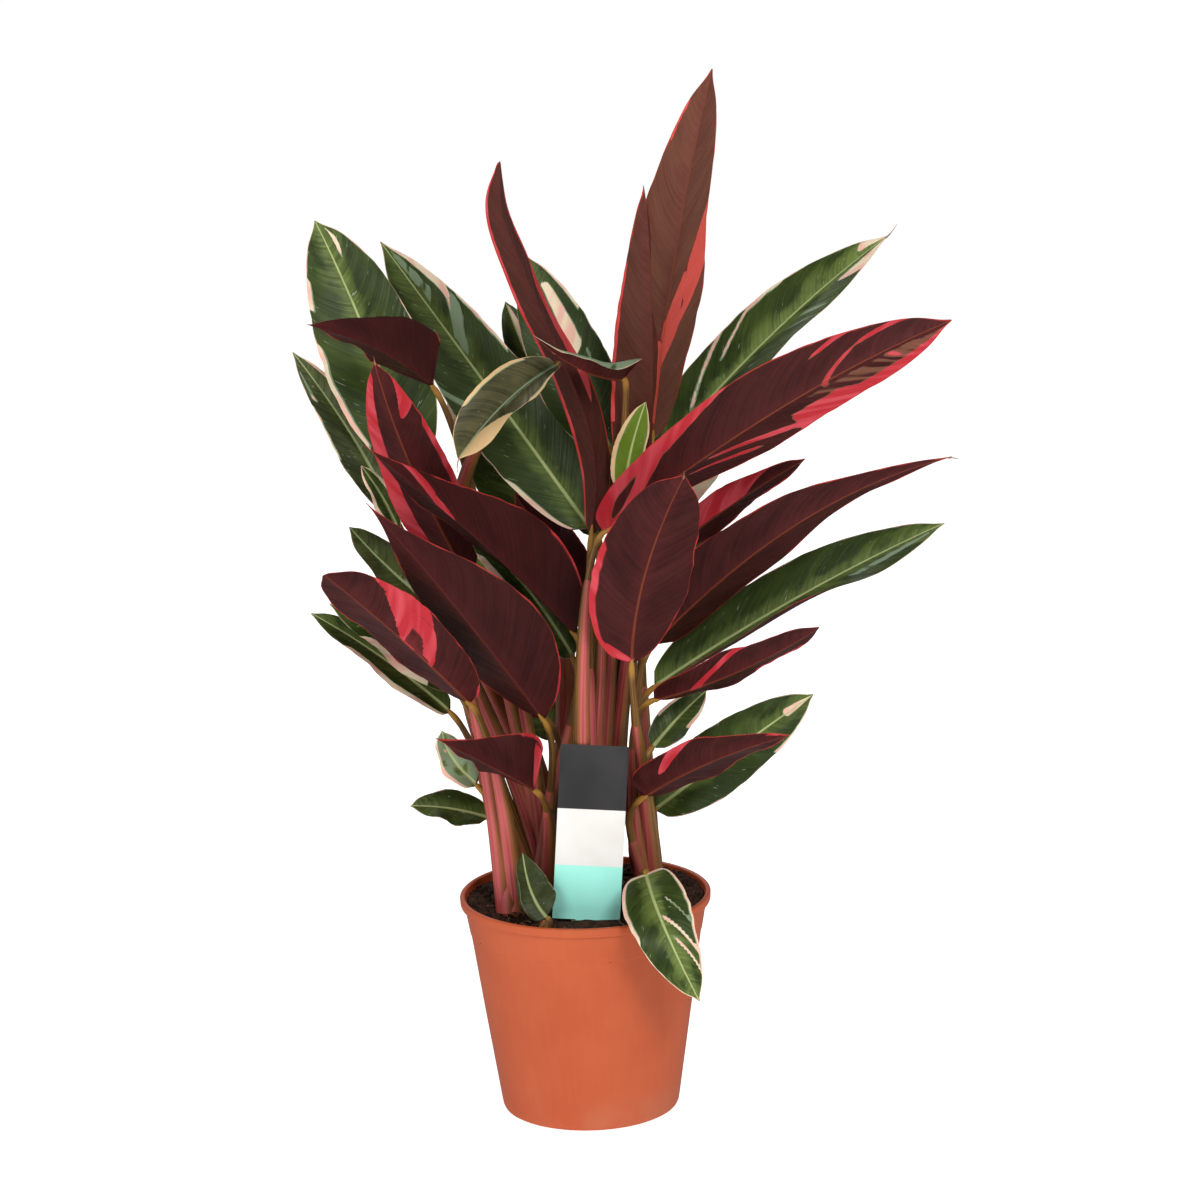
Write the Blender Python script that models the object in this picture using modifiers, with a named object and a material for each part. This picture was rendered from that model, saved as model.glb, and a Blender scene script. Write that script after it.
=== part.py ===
# Potted stromanthe: a clump of leafy shoots in soil, in a 17 cm plastic grow pot with a stick-in label.
# Metres, +Z up. The origin is the middle of the pot's underside, and the plant's front faces -Y.

import math

import bmesh
import bpy
import numpy as np

# Driving dimensions of the pot, soil and label
MM = 0.001
GAP = 0.3 * MM              # clearance between pieces that touch

POT_TOP_RADIUS = 85 * MM    # outside of the rolled rim: a 17 cm pot
POT_BASE_RADIUS = 60 * MM
POT_HEIGHT = 150 * MM
POT_WALL = 1.4 * MM
POT_FLOOR = 2 * MM
RIM_HEIGHT = 8 * MM
RIM_OVERHANG = 2.2 * MM
STEP_BELOW_RIM = 26 * MM    # the faint stacking step
STEP_DEPTH = 0.7 * MM
POT_SEGMENTS = 48

DRAIN_COUNT = 6
DRAIN_RADIUS = 4 * MM
DRAIN_RING = 38 * MM

SOIL_LEVEL = 140 * MM       # at the pot wall
SOIL_CROWN = 2.5 * MM       # how much higher the soil lies in the middle
STEM_DEPTH = 18 * MM        # how deep each shoot stands in its hole

LABEL_WIDTH = 45 * MM
LABEL_TOP = 264 * MM
LABEL_CARD_BOTTOM = 141 * MM
LABEL_THICKNESS = 1.0 * MM
LABEL_PLACE = (0 * MM, -45 * MM)
LABEL_LEAN = math.radians(4.4)
STAKE_WIDTH = 14 * MM
STAKE_DEPTH = 40 * MM

# Leaf blades
BLADE_THICKNESS = 0.8 * MM
BLADE_STATIONS = (0, 0.05, 0.14, 0.27, 0.42, 0.57, 0.72, 0.86, 0.95, 1)     # shares of the length
BLADE_ACROSS = (-1, -0.5, 0, 0.5, 1)                                        # shares of the half-width
HEEL_GAP = 0.7 * MM         # from the end of a stalk to its blade
HEEL_HALF_WIDTH = 2.2 * MM
TIP_HALF_WIDTH = 0.7 * MM
WAVE_HEIGHT = 1.5 * MM      # of the waved margins
WAVES = 2                   # along each margin
WAVE_LEAD = 1.3             # radians by which the right margin's waves lead the left's
TWIST_CENTRE = 0.4          # the share of the length where turn is measured

# Stalks and the feet that they rise from
STALK_POINTS = 8
STALK_CROWDING = 1.4        # above 1, the points of a stalk lie closer toward the heel
STALK_TOP_RADIUS = 1.7 * MM
STALK_BASE_RADIUS = 4.2 * MM
STALK_START = 1.5 * MM      # above the soil, inside the foot
STALK_SPREAD = 0.4          # the stalks' ring in a foot, as a share of its radius
STALK_RISE = np.array((0.25, 0.25, 0.5))    # the lower guide point, as a share of the way to the heel
FOOT_RISE = 14 * MM         # of a foot above the soil
SINGLE_FOOT_RISE = 4 * MM   # of a foot that carries only one leaf
FOOT_SEGMENTS = 12

# Each shoot: where its foot stands in the soil (x, y in mm) and the foot's radius (mm)
SHOOTS = {
    "shoot_left": ((-50, -18), 8),
    "shoot_mid_left": ((-28, 22), 8.5),
    "shoot_centre": ((3, -4), 7),
    "shoot_spear": ((14, 34), 7.5),
    "shoot_right": ((44, 6), 8),
    "shoot_right_back": ((43, 46), 7),
    "shoot_back_left": ((-16, 60), 7),
    "sucker_front": ((-27, -56), 4),
    "sucker_right": ((36, -22), 4),
}

# Outlines: how the half-width grows from the heel and falls to the tip
LANCE = (0.52, 0.80)
OBLONG = (0.50, 0.60)
TAPER = (0.48, 1.15)
SPEAR = (0.45, 1.50)
BROAD = (0.38, 0.95)
HEART = (0.25, 1.30)
STRAP = (0.40, 0.78)


def leaf(shoot, heel, via, tip, width, turn, fold=14, twist=0, outline=LANCE, bow=None, lead=30,
         sway=0):
    """One leaf, in mm and degrees. heel, via and tip are points of the midrib, and via is halfway along it.
    turn 0 shows the upper face to the front and 180 the underside; fold lifts both halves toward the upper
    face. bow is the stalk's lower guide point, and lead how far the stalk runs straight into the heel. sway
    bends the midrib into an S, to the right low down and to the left higher up."""
    return dict(shoot=shoot, heel=heel, via=via, tip=tip, width=width, turn=turn, fold=fold, twist=twist,
                outline=outline, bow=bow, lead=lead, sway=sway)


LEAVES = {
    # The tall spear, the folded leaf in front of it and the long folded one to their left
    "leaf_01": leaf("shoot_spear", (53, 25, 454), (71, 10, 580), (97, -10, 701), 60, 210, fold=16),
    "leaf_02": leaf("shoot_spear", (49, 0, 424), (54, -14, 534), (51, -25, 629), 54, 226, fold=38, outline=BROAD),
    "leaf_03": leaf("shoot_centre", (11, -8, 398), (-6, -22, 520), (-41, -35, 648), 29, 186, fold=44, twist=45,
                    outline=(0.27, 0.50), sway=8.6),
    # Green leaves at the back of the top, left of the middle
    "leaf_04": leaf("shoot_spear", (26, 34, 447), (-4, 50, 511), (-28, 70, 574), 54, 5),
    "leaf_05": leaf("shoot_back_left", (-18, 82, 478), (-31, 92, 507), (-43, 104, 538), 26, 0),
    "leaf_06": leaf("shoot_back_left", (-106, 34, 438), (-136, 50, 527), (-168, 70, 601), 70, 0),
    "leaf_07": leaf("shoot_centre", (10, 15, 398), (-57, 64, 488), (-127, 115, 580), 60, 5),
    # Upper left
    "leaf_08": leaf("shoot_mid_left", (-90, -10, 500), (-121, -36, 528), (-166, -58, 550), 80, 169, fold=56, twist=-9,
                    outline=(0.19, 1.06)),
    "leaf_09": leaf("shoot_back_left", (-122, 32, 409), (-148, 46, 459), (-186, 60, 514), 32, 15),
    "leaf_10": leaf("shoot_mid_left", (-118, 6, 403), (-127, 0, 426), (-139, -8, 448), 16, 20),
    "leaf_11": leaf("shoot_mid_left", (-72, -5, 372), (-104, -35, 450), (-124, -65, 526), 48, 172),
    "leaf_12": leaf("shoot_mid_left", (-8, -35, 516), (-44, -62, 496), (-72, -80, 463), 38, 0, bow=(-165, 20, 474),
                    lead=22),
    "leaf_13": leaf("shoot_mid_left", (-2, -10, 331), (-60, -60, 409), (-132, -100, 473), 60, 142, fold=22,
                    outline=TAPER),
    "leaf_14": leaf("shoot_mid_left", (-24, -30, 278), (-79, -95, 379), (-132, -140, 453), 80, 148, fold=20,
                    outline=SPEAR),
    "leaf_15": leaf("shoot_left", (-72, -50, 296), (-112, -95, 351), (-157, -130, 402), 56, 148, fold=18,
                    outline=OBLONG),
    "leaf_16": leaf("shoot_left", (-85, -10, 299), (-123, -35, 341), (-160, -55, 369), 30, 45),
    "leaf_17": leaf("shoot_left", (-88, 15, 274), (-131, 0, 316), (-176, -10, 350), 30, 45),
    "leaf_18": leaf("shoot_left", (-97, -10, 354), (-124, -18, 382), (-147, -26, 411), 30, 40),
    "leaf_19": leaf("shoot_mid_left", (-4, 14, 310), (-36, -2, 365), (-69, -16, 399), 36, 30),
    "leaf_20": leaf("shoot_mid_left", (-31, -45, 234), (-61, -75, 265), (-94, -95, 284), 60, 145, outline=BROAD),
    "leaf_21": leaf("shoot_left", (-71, -2, 227), (-87, -5, 248), (-92, -10, 267), 24, 30),
    "leaf_22": leaf("shoot_left", (-65, 15, 199), (-90, 15, 206), (-116, 10, 210), 28, 50),
    # Young leaf in the middle and the channelled one above it
    "leaf_23": leaf("shoot_spear", (34, -13, 427), (39, -20, 457), (49, -24, 488), 24, -20),
    "leaf_24": leaf("shoot_spear", (35, -30, 505), (8, -58, 517), (-22, -85, 544), 54, 108, fold=36,
                    outline=HEART, bow=(10, 30, 300), lead=12),
    # Right
    "leaf_25": leaf("shoot_spear", (55, 48, 434), (134, 72, 513), (217, 95, 577), 58, -52, fold=20),
    "leaf_26": leaf("shoot_centre", (19, -36, 405), (132, -76, 490), (239, -115, 550), 66, -150, fold=16, twist=-50,
                    outline=STRAP, bow=(-2, -67, 300), lead=20),
    "leaf_27": leaf("shoot_right", (35, -55, 321), (45, -80, 386), (71, -105, 454), 66, -170, outline=OBLONG),
    "leaf_28": leaf("shoot_right_back", (50, 14, 371), (102, 10, 410), (153, 0, 443), 30, -150, lead=16),
    "leaf_29": leaf("shoot_right", (58, 0, 333), (148, -30, 408), (244, -60, 453), 62, -145, fold=18,
                    outline=SPEAR),
    "leaf_30": leaf("shoot_right_back", (51, 22, 286), (150, 28, 349), (248, 34, 390), 46, -48),
    "leaf_31": leaf("shoot_right", (50, -15, 286), (104, -40, 310), (157, -60, 343), 42, -134, outline=OBLONG),
    "leaf_32": leaf("shoot_right", (48, -6, 251), (66, 6, 268), (85, 16, 283), 24, -20),
    "leaf_33": leaf("shoot_right_back", (49, 24, 199), (105, 20, 241), (157, 18, 278), 46, -20),
    "leaf_34": leaf("shoot_right", (41, -25, 222), (86, -50, 252), (136, -75, 275), 52, -140, outline=BROAD),
    "leaf_35": leaf("sucker_right", (41, -52, 177), (51, -96, 155), (73, -106, 106), 44, -5, lead=14),
    # Small leaves low in the clump
    "leaf_36": leaf("shoot_spear", (6, 40, 351), (-16, 44, 382), (-40, 52, 415), 34, 170),
    "leaf_37": leaf("shoot_back_left", (-24, 40, 262), (-42, 40, 283), (-60, 40, 301), 26, 170),
    "leaf_38": leaf("sucker_front", (-25, -58, 150), (-35, -52, 166), (-40, -48, 192), 24, 10, lead=3),
    # Leaves at the back that the front ones hide
    "leaf_39": leaf("shoot_right_back", (25, 70, 300), (61, 110, 340), (94, 135, 376), 48, -20),
    "leaf_40": leaf("shoot_back_left", (-23, 75, 308), (-67, 110, 358), (-108, 140, 396), 48, 25),
    "leaf_41": leaf("shoot_back_left", (-11, 80, 363), (-51, 120, 426), (-85, 150, 478), 50, 12),
    "leaf_42": leaf("shoot_right_back", (44, 75, 375), (89, 105, 431), (142, 130, 463), 44, -20),
    "leaf_43": leaf("shoot_back_left", (16, 90, 375), (5, 128, 432), (-1, 152, 482), 46, 0),
    "leaf_44": leaf("shoot_back_left", (-15, 80, 235), (-42, 110, 264), (-77, 140, 287), 36, 15),
}

# Colours: base colour, roughness
FINISHES = {
    "terracotta_plastic": ((0.60, 0.125, 0.045), 0.45),
    "peat": ((0.030, 0.015, 0.008), 0.95),
    "card": ((0.62, 0.62, 0.60), 0.35),
    "stalk": ((0.30, 0.10, 0.07), 0.50),
    "leaf_green": ((0.045, 0.105, 0.030), 0.45),
    "leaf_burgundy": ((0.080, 0.014, 0.017), 0.50),
}


def clear_scene():
    for item in list(bpy.data.objects):
        bpy.data.objects.remove(item)


def make_collection(name):
    group = bpy.data.collections.new(name)
    bpy.context.scene.collection.children.link(group)
    return group


def make_finish(name):
    colour, roughness = FINISHES[name]
    finish = bpy.data.materials.new(name)
    finish.use_nodes = True
    shader = finish.node_tree.nodes["Principled BSDF"]
    shader.inputs["Base Color"].default_value = (*colour, 1)
    shader.inputs["Roughness"].default_value = roughness
    return finish


def add_object(name, data, group, finish=None):
    item = bpy.data.objects.new(name, data)
    group.objects.link(item)
    if finish:
        data.materials.append(finish)
    return item


def mesh_from_bmesh(name, bm):
    mesh = bpy.data.meshes.new(name)
    bm.to_mesh(mesh)
    bm.free()
    return mesh


def turned(name, profile, group, finish):
    """A solid turned about Z from an (x, z) profile that runs down its outer side."""
    mesh = bpy.data.meshes.new(name)
    edges = [(i, i + 1) for i in range(len(profile) - 1)]
    mesh.from_pydata([(x, 0, z) for x, z in profile], edges, [])
    item = add_object(name, mesh, group, finish)
    screw = item.modifiers.new("turn", "SCREW")
    screw.steps = POT_SEGMENTS
    screw.render_steps = POT_SEGMENTS
    screw.use_merge_vertices = True
    screw.merge_threshold = 0.00005
    return item


def cut(item, cutters):
    boolean = item.modifiers.new("holes", "BOOLEAN")
    boolean.operation = "DIFFERENCE"
    boolean.solver = "EXACT"
    boolean.operand_type = "COLLECTION"
    boolean.collection = cutters


def add_cutter(name, bm, group):
    item = add_object(name, mesh_from_bmesh(name, bm), group)
    item.hide_render = True
    item.display_type = "WIRE"
    return item


def cylinder(radius, bottom, top, centre=(0, 0), segments=16):
    bm = bmesh.new()
    bmesh.ops.create_cone(bm, cap_ends=True, segments=segments, radius1=radius, radius2=radius, depth=top - bottom)
    bmesh.ops.translate(bm, vec=(centre[0], centre[1], (top + bottom) / 2), verts=bm.verts)
    return bm


# Pot

def wall_radius(z):
    """Outer radius of the pot's plain wall at height z."""
    top = POT_TOP_RADIUS - RIM_OVERHANG
    return POT_BASE_RADIUS + (top - POT_BASE_RADIUS) * z / POT_HEIGHT


def build_pot(group, cutters, finish):
    rim_bottom = POT_HEIGHT - RIM_HEIGHT
    step = POT_HEIGHT - STEP_BELOW_RIM
    corner = 2.5 * MM
    profile = [
        (0, POT_FLOOR),
        (POT_BASE_RADIUS - 4 * MM, POT_FLOOR),
        (wall_radius(6 * MM) - POT_WALL, 6 * MM),
        (wall_radius(step) - POT_WALL, step),
        (wall_radius(rim_bottom) - POT_WALL, rim_bottom),
        (POT_TOP_RADIUS - RIM_OVERHANG - POT_WALL, POT_HEIGHT - 1.5 * MM),
        (POT_TOP_RADIUS - RIM_OVERHANG - POT_WALL + 0.6 * MM, POT_HEIGHT - 0.3 * MM),
        (POT_TOP_RADIUS - 1.6 * MM, POT_HEIGHT),
        (POT_TOP_RADIUS - 0.4 * MM, POT_HEIGHT - 0.7 * MM),
        (POT_TOP_RADIUS, POT_HEIGHT - 2.2 * MM),
        (POT_TOP_RADIUS - 0.2 * MM, rim_bottom + 1.5 * MM),
        (POT_TOP_RADIUS - 1.0 * MM, rim_bottom),
        (wall_radius(rim_bottom) + 0.1 * MM, rim_bottom - 0.3 * MM),
        (wall_radius(step), step + 1 * MM),
        (wall_radius(step) - STEP_DEPTH, step),
        (wall_radius(corner), corner),
        (POT_BASE_RADIUS - 0.8 * MM, 0.6 * MM),
        (POT_BASE_RADIUS - corner, 0),
        (0, 0),
    ]
    pot = turned("pot", profile, group, finish)
    for index in range(DRAIN_COUNT):
        angle = math.tau * (index + 0.5) / DRAIN_COUNT
        centre = (DRAIN_RING * math.cos(angle), DRAIN_RING * math.sin(angle))
        add_cutter(f"drain_{index}", cylinder(DRAIN_RADIUS, -5 * MM, 5 * MM, centre, 12), cutters)
    cut(pot, cutters)


# Soil, with a plain hole for each shoot and a slot for the label's stake

def soil_surface(x, y):
    """Height of the soil's domed top."""
    share = min(1, math.hypot(x, y) / wall_radius(SOIL_LEVEL))
    return SOIL_LEVEL + SOIL_CROWN * (1 - share * share)


def build_soil(group, cutters, finish):
    inside = POT_WALL + GAP
    rings = 5
    edge = wall_radius(SOIL_LEVEL) - STEP_DEPTH - inside
    profile = [(edge * i / rings, soil_surface(edge * i / rings, 0)) for i in range(rings + 1)]
    profile += [
        (wall_radius(POT_HEIGHT - STEP_BELOW_RIM) - STEP_DEPTH - inside, POT_HEIGHT - STEP_BELOW_RIM),
        (wall_radius(8 * MM) - inside - 1 * MM, 8 * MM),
        (POT_BASE_RADIUS - 6 * MM, POT_FLOOR + GAP),
        (0, POT_FLOOR + GAP),
    ]
    soil = turned("soil", profile, group, finish)
    for name, ((x, y), radius) in SHOOTS.items():
        x, y, radius = x * MM, y * MM, radius * MM
        bottom = soil_surface(x, y) - STEM_DEPTH - GAP
        add_cutter(f"hole_{name}", cylinder(radius + 1.5 * GAP, bottom, POT_HEIGHT + 20 * MM, (x, y)), cutters)
    slot = bmesh.new()
    bmesh.ops.create_cube(slot, size=1)
    slot_size = (STAKE_WIDTH + 5 * MM, LABEL_THICKNESS + 2 * GAP, STAKE_DEPTH + 20 * MM)
    bmesh.ops.scale(slot, vec=slot_size, verts=slot.verts)
    slot_middle = LABEL_CARD_BOTTOM - STAKE_DEPTH - GAP + slot_size[2] / 2
    bmesh.ops.translate(slot, vec=(*LABEL_PLACE, slot_middle), verts=slot.verts)
    add_cutter("slot_label", slot, cutters)
    cut(soil, cutters)


# Label: a plain card that runs down into a narrower stake

def build_label(group, finish):
    half = LABEL_WIDTH / 2
    stake = STAKE_WIDTH / 2
    shoulder = LABEL_CARD_BOTTOM + 3 * MM
    round_off = 1.5 * MM
    outline = [
        (half, shoulder), (half, LABEL_TOP - round_off), (half - round_off, LABEL_TOP),
        (round_off - half, LABEL_TOP), (-half, LABEL_TOP - round_off), (-half, shoulder),
        (-stake, shoulder), (-stake * 0.8, LABEL_CARD_BOTTOM - STAKE_DEPTH + 8 * MM),
        (0, LABEL_CARD_BOTTOM - STAKE_DEPTH), (stake * 0.8, LABEL_CARD_BOTTOM - STAKE_DEPTH + 8 * MM),
        (stake, shoulder),
    ]
    # The card leans to the right above the soil, and the stake below it runs straight down
    points = []
    for x, z in outline:
        rise = z - LABEL_CARD_BOTTOM
        lean = math.tan(LABEL_LEAN) if rise > 0 else 0
        points.append((x + rise * lean, z - x * lean))
    curve = bpy.data.curves.new("plant_label", "CURVE")
    curve.dimensions = "2D"
    curve.fill_mode = "BOTH"
    curve.extrude = LABEL_THICKNESS / 2
    spline = curve.splines.new("POLY")
    spline.points.add(len(points) - 1)
    for point, (x, z) in zip(spline.points, points):
        point.co = (x, z, 0, 1)
    spline.use_cyclic_u = True
    label = add_object("plant_label", curve, group, finish)
    label.rotation_euler = (math.pi / 2, 0, 0)
    label.location = (*LABEL_PLACE, 0)


# Leaf blades

def unit(vector):
    return vector / np.linalg.norm(vector)


def midrib(form, u):
    """Point and direction of the midrib at share u of the blade, on a curve through heel, via and tip."""
    heel, via, tip = (np.array(form[key], float) * MM for key in ("heel", "via", "tip"))
    guide = 2 * via - (heel + tip) / 2
    sway = np.array((form["sway"], 0, 0)) * MM
    point = (1 - u) ** 2 * heel + 2 * u * (1 - u) * guide + u * u * tip + sway * math.sin(math.tau * u)
    slope = 2 * (1 - u) * (guide - heel) + 2 * u * (tip - guide) + sway * math.tau * math.cos(math.tau * u)
    return point, unit(slope)


def blade_frame(form, u):
    """Midrib point, direction, side and upper-face normal at share u."""
    point, along = midrib(form, u)
    front = np.array((0.0, -1.0, 0.0))
    facing = unit(front - front.dot(along) * along)
    right = np.cross(along, facing)
    angle = math.radians(form["turn"] + form["twist"] * (u - TWIST_CENTRE))
    normal = facing * math.cos(angle) + right * math.sin(angle)
    side = right * math.cos(angle) - facing * math.sin(angle)
    return point, along, side, normal


def half_width(form, u):
    rise, fall = form["outline"]
    peak = rise / (rise + fall)
    share = u ** rise * (1 - u) ** fall / (peak ** rise * (1 - peak) ** fall)
    stalk_share = HEEL_HALF_WIDTH * (1 - u) + TIP_HALF_WIDTH * u
    return stalk_share + (form["width"] * MM / 2 - stalk_share) * share


def blade_point(form, u, s):
    """Point of the blade's middle surface, s from -1 to 1 across it."""
    point, _, side, normal = blade_frame(form, u)
    half = half_width(form, u)
    slope = math.radians(form["fold"])
    wave_turn = math.tau * WAVES * u + (WAVE_LEAD if s > 0 else 0)
    ripple = WAVE_HEIGHT * math.sin(wave_turn) * math.sin(math.pi * u) * s * s
    lift = half * abs(s) * math.sin(slope) + ripple
    return point + side * half * s * math.cos(slope) + normal * lift


def build_blade(name, form, group, finishes):
    rows, columns = len(BLADE_STATIONS), len(BLADE_ACROSS)
    bm = bmesh.new()
    bmesh.ops.create_grid(bm, x_segments=columns - 1, y_segments=rows - 1, size=1)
    for vertex in bm.verts:
        column = round((vertex.co.x + 1) / 2 * (columns - 1))
        row = round((vertex.co.y + 1) / 2 * (rows - 1))
        vertex.co = blade_point(form, BLADE_STATIONS[row], BLADE_ACROSS[column])
    # The heel starts just past the stalk's end face
    _, along, _, _ = blade_frame(form, 0)
    bmesh.ops.translate(bm, vec=along * HEEL_GAP, verts=bm.verts)
    bmesh.ops.triangulate(bm, faces=bm.faces)
    blade = add_object(name, mesh_from_bmesh(name, bm), group)
    shows_underside = abs((form["turn"] + 180) % 360 - 180) > 90
    blade.data.materials.append(finishes["leaf_burgundy" if shows_underside else "leaf_green"])
    solid = blade.modifiers.new("thickness", "SOLIDIFY")
    solid.thickness = BLADE_THICKNESS
    solid.offset = 0


# Shoots: a foot in the soil, with the stalks of its leaves rising out of it

def stalk_points(form, foot):
    """Guide points of the stalk from the foot to the leaf's heel, with a radius at each."""
    heel, along = midrib(form, 0)
    lead = form["lead"] * MM
    arrive = heel - along * lead
    if form["bow"]:
        rise = np.array(form["bow"], float) * MM
    else:
        rise = foot + (arrive - foot) * STALK_RISE
    points = []
    for index in range(STALK_POINTS):
        t = 1 - (1 - index / (STALK_POINTS - 1)) ** STALK_CROWDING
        point = (1 - t) ** 3 * foot + 3 * t * (1 - t) ** 2 * rise + 3 * t * t * (1 - t) * arrive + t ** 3 * heel
        radius = STALK_BASE_RADIUS + (STALK_TOP_RADIUS - STALK_BASE_RADIUS) * t
        points.append((point, radius))
    return points


def build_stalk(name, points, group):
    curve = bpy.data.curves.new(name, "CURVE")
    curve.dimensions = "3D"
    curve.bevel_depth = 1
    curve.bevel_resolution = 1
    curve.use_fill_caps = True
    spline = curve.splines.new("POLY")
    spline.points.add(len(points) - 1)
    for target, (point, radius) in zip(spline.points, points):
        target.co = (*point, 1)
        target.radius = radius
    guide = add_object(name, curve, group)
    bpy.context.view_layer.update()
    mesh = bpy.data.meshes.new_from_object(guide.evaluated_get(bpy.context.evaluated_depsgraph_get()))
    bpy.data.objects.remove(guide)
    bm = bmesh.new()
    bm.from_mesh(mesh)
    bmesh.ops.remove_doubles(bm, verts=bm.verts, dist=0.00001)
    return add_object(name, mesh_from_bmesh(name, bm), group)


def build_shoot(name, group, finish):
    (x, y), radius = SHOOTS[name]
    x, y, radius = x * MM, y * MM, radius * MM
    ground = soil_surface(x, y)
    leaves = [form for form in LEAVES.values() if form["shoot"] == name]
    single = len(leaves) == 1
    foot_top = ground + (SINGLE_FOOT_RISE if single else FOOT_RISE)
    body = cylinder(radius, ground - STEM_DEPTH, foot_top, (x, y), FOOT_SEGMENTS)
    foot = add_object(name, mesh_from_bmesh(name, body), group, finish)
    stalks = make_collection(f"stalks_{name}")
    for index, form in enumerate(leaves):
        turn = math.tau * index / len(leaves)
        spread = 0 if single else STALK_SPREAD * radius
        start = np.array((x + spread * math.cos(turn), y + spread * math.sin(turn), ground + STALK_START))
        build_stalk(f"{name}_stalk_{index}", stalk_points(form, start), stalks)
    boolean = foot.modifiers.new("union", "BOOLEAN")
    boolean.operation = "UNION"
    boolean.solver = "EXACT"
    boolean.operand_type = "COLLECTION"
    boolean.collection = stalks
    bpy.context.view_layer.update()
    joined = bpy.data.meshes.new_from_object(foot.evaluated_get(bpy.context.evaluated_depsgraph_get()))
    foot.modifiers.clear()
    foot.data = joined
    for helper in list(stalks.objects):
        bpy.data.objects.remove(helper)
    bpy.data.collections.remove(stalks)


def main():
    clear_scene()
    group = make_collection("potted_stromanthe")
    pot_cutters = make_collection("pot_cutters")
    soil_cutters = make_collection("soil_cutters")
    finishes = {name: make_finish(name) for name in FINISHES}
    build_pot(group, pot_cutters, finishes["terracotta_plastic"])
    build_soil(group, soil_cutters, finishes["peat"])
    build_label(group, finishes["card"])
    for name in SHOOTS:
        build_shoot(name, group, finishes["stalk"])
    for name, form in LEAVES.items():
        build_blade(name, form, group, finishes)


main()
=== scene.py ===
import math
import random

import bmesh
import bpy
import numpy as np
from mathutils import Matrix, Vector, noise


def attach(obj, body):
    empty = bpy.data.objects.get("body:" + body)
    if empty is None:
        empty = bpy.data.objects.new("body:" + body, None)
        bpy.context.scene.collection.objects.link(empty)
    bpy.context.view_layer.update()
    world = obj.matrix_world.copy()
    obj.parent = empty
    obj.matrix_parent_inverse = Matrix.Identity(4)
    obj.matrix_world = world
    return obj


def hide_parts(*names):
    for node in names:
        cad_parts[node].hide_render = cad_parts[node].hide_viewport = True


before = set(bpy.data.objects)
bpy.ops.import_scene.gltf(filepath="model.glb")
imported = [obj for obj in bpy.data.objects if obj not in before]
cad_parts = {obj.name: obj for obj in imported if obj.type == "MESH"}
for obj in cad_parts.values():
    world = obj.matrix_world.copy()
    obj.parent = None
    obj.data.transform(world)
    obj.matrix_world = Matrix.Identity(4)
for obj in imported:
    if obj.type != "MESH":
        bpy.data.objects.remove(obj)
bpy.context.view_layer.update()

# Potted stromanthe, in metres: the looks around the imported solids
mm = 0.001


# Helpers for node trees

def enabledSocket(sockets, name):
    return next(socket for socket in sockets if socket.name == name and socket.enabled)


def addNode(tree, kind, inputs=None, **settings):
    node = tree.nodes.new(kind)
    for name, value in settings.items():
        setattr(node, name, value)
    for key, value in (inputs or {}).items():
        socket = enabledSocket(node.inputs, key) if isinstance(key, str) else node.inputs[key]
        if isinstance(value, Field):
            tree.links.new(value.socket, socket)
        else:
            socket.default_value = value
    return node


def newField(tree, kind, inputs=None, output=0, **settings):
    outputs = addNode(tree, kind, inputs, **settings).outputs
    return Field(tree, enabledSocket(outputs, output) if isinstance(output, str) else outputs[output])


def maths(tree, operation, *values, clamp=False):
    return newField(tree, "ShaderNodeMath", dict(enumerate(values)), operation=operation, use_clamp=clamp)


def combined(tree, x=0.0, y=0.0, z=0.0):
    return newField(tree, "ShaderNodeCombineXYZ", {0: x, 1: y, 2: z})


def fourParts(colour):
    return (*colour, 1) if isinstance(colour, tuple) else colour


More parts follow.
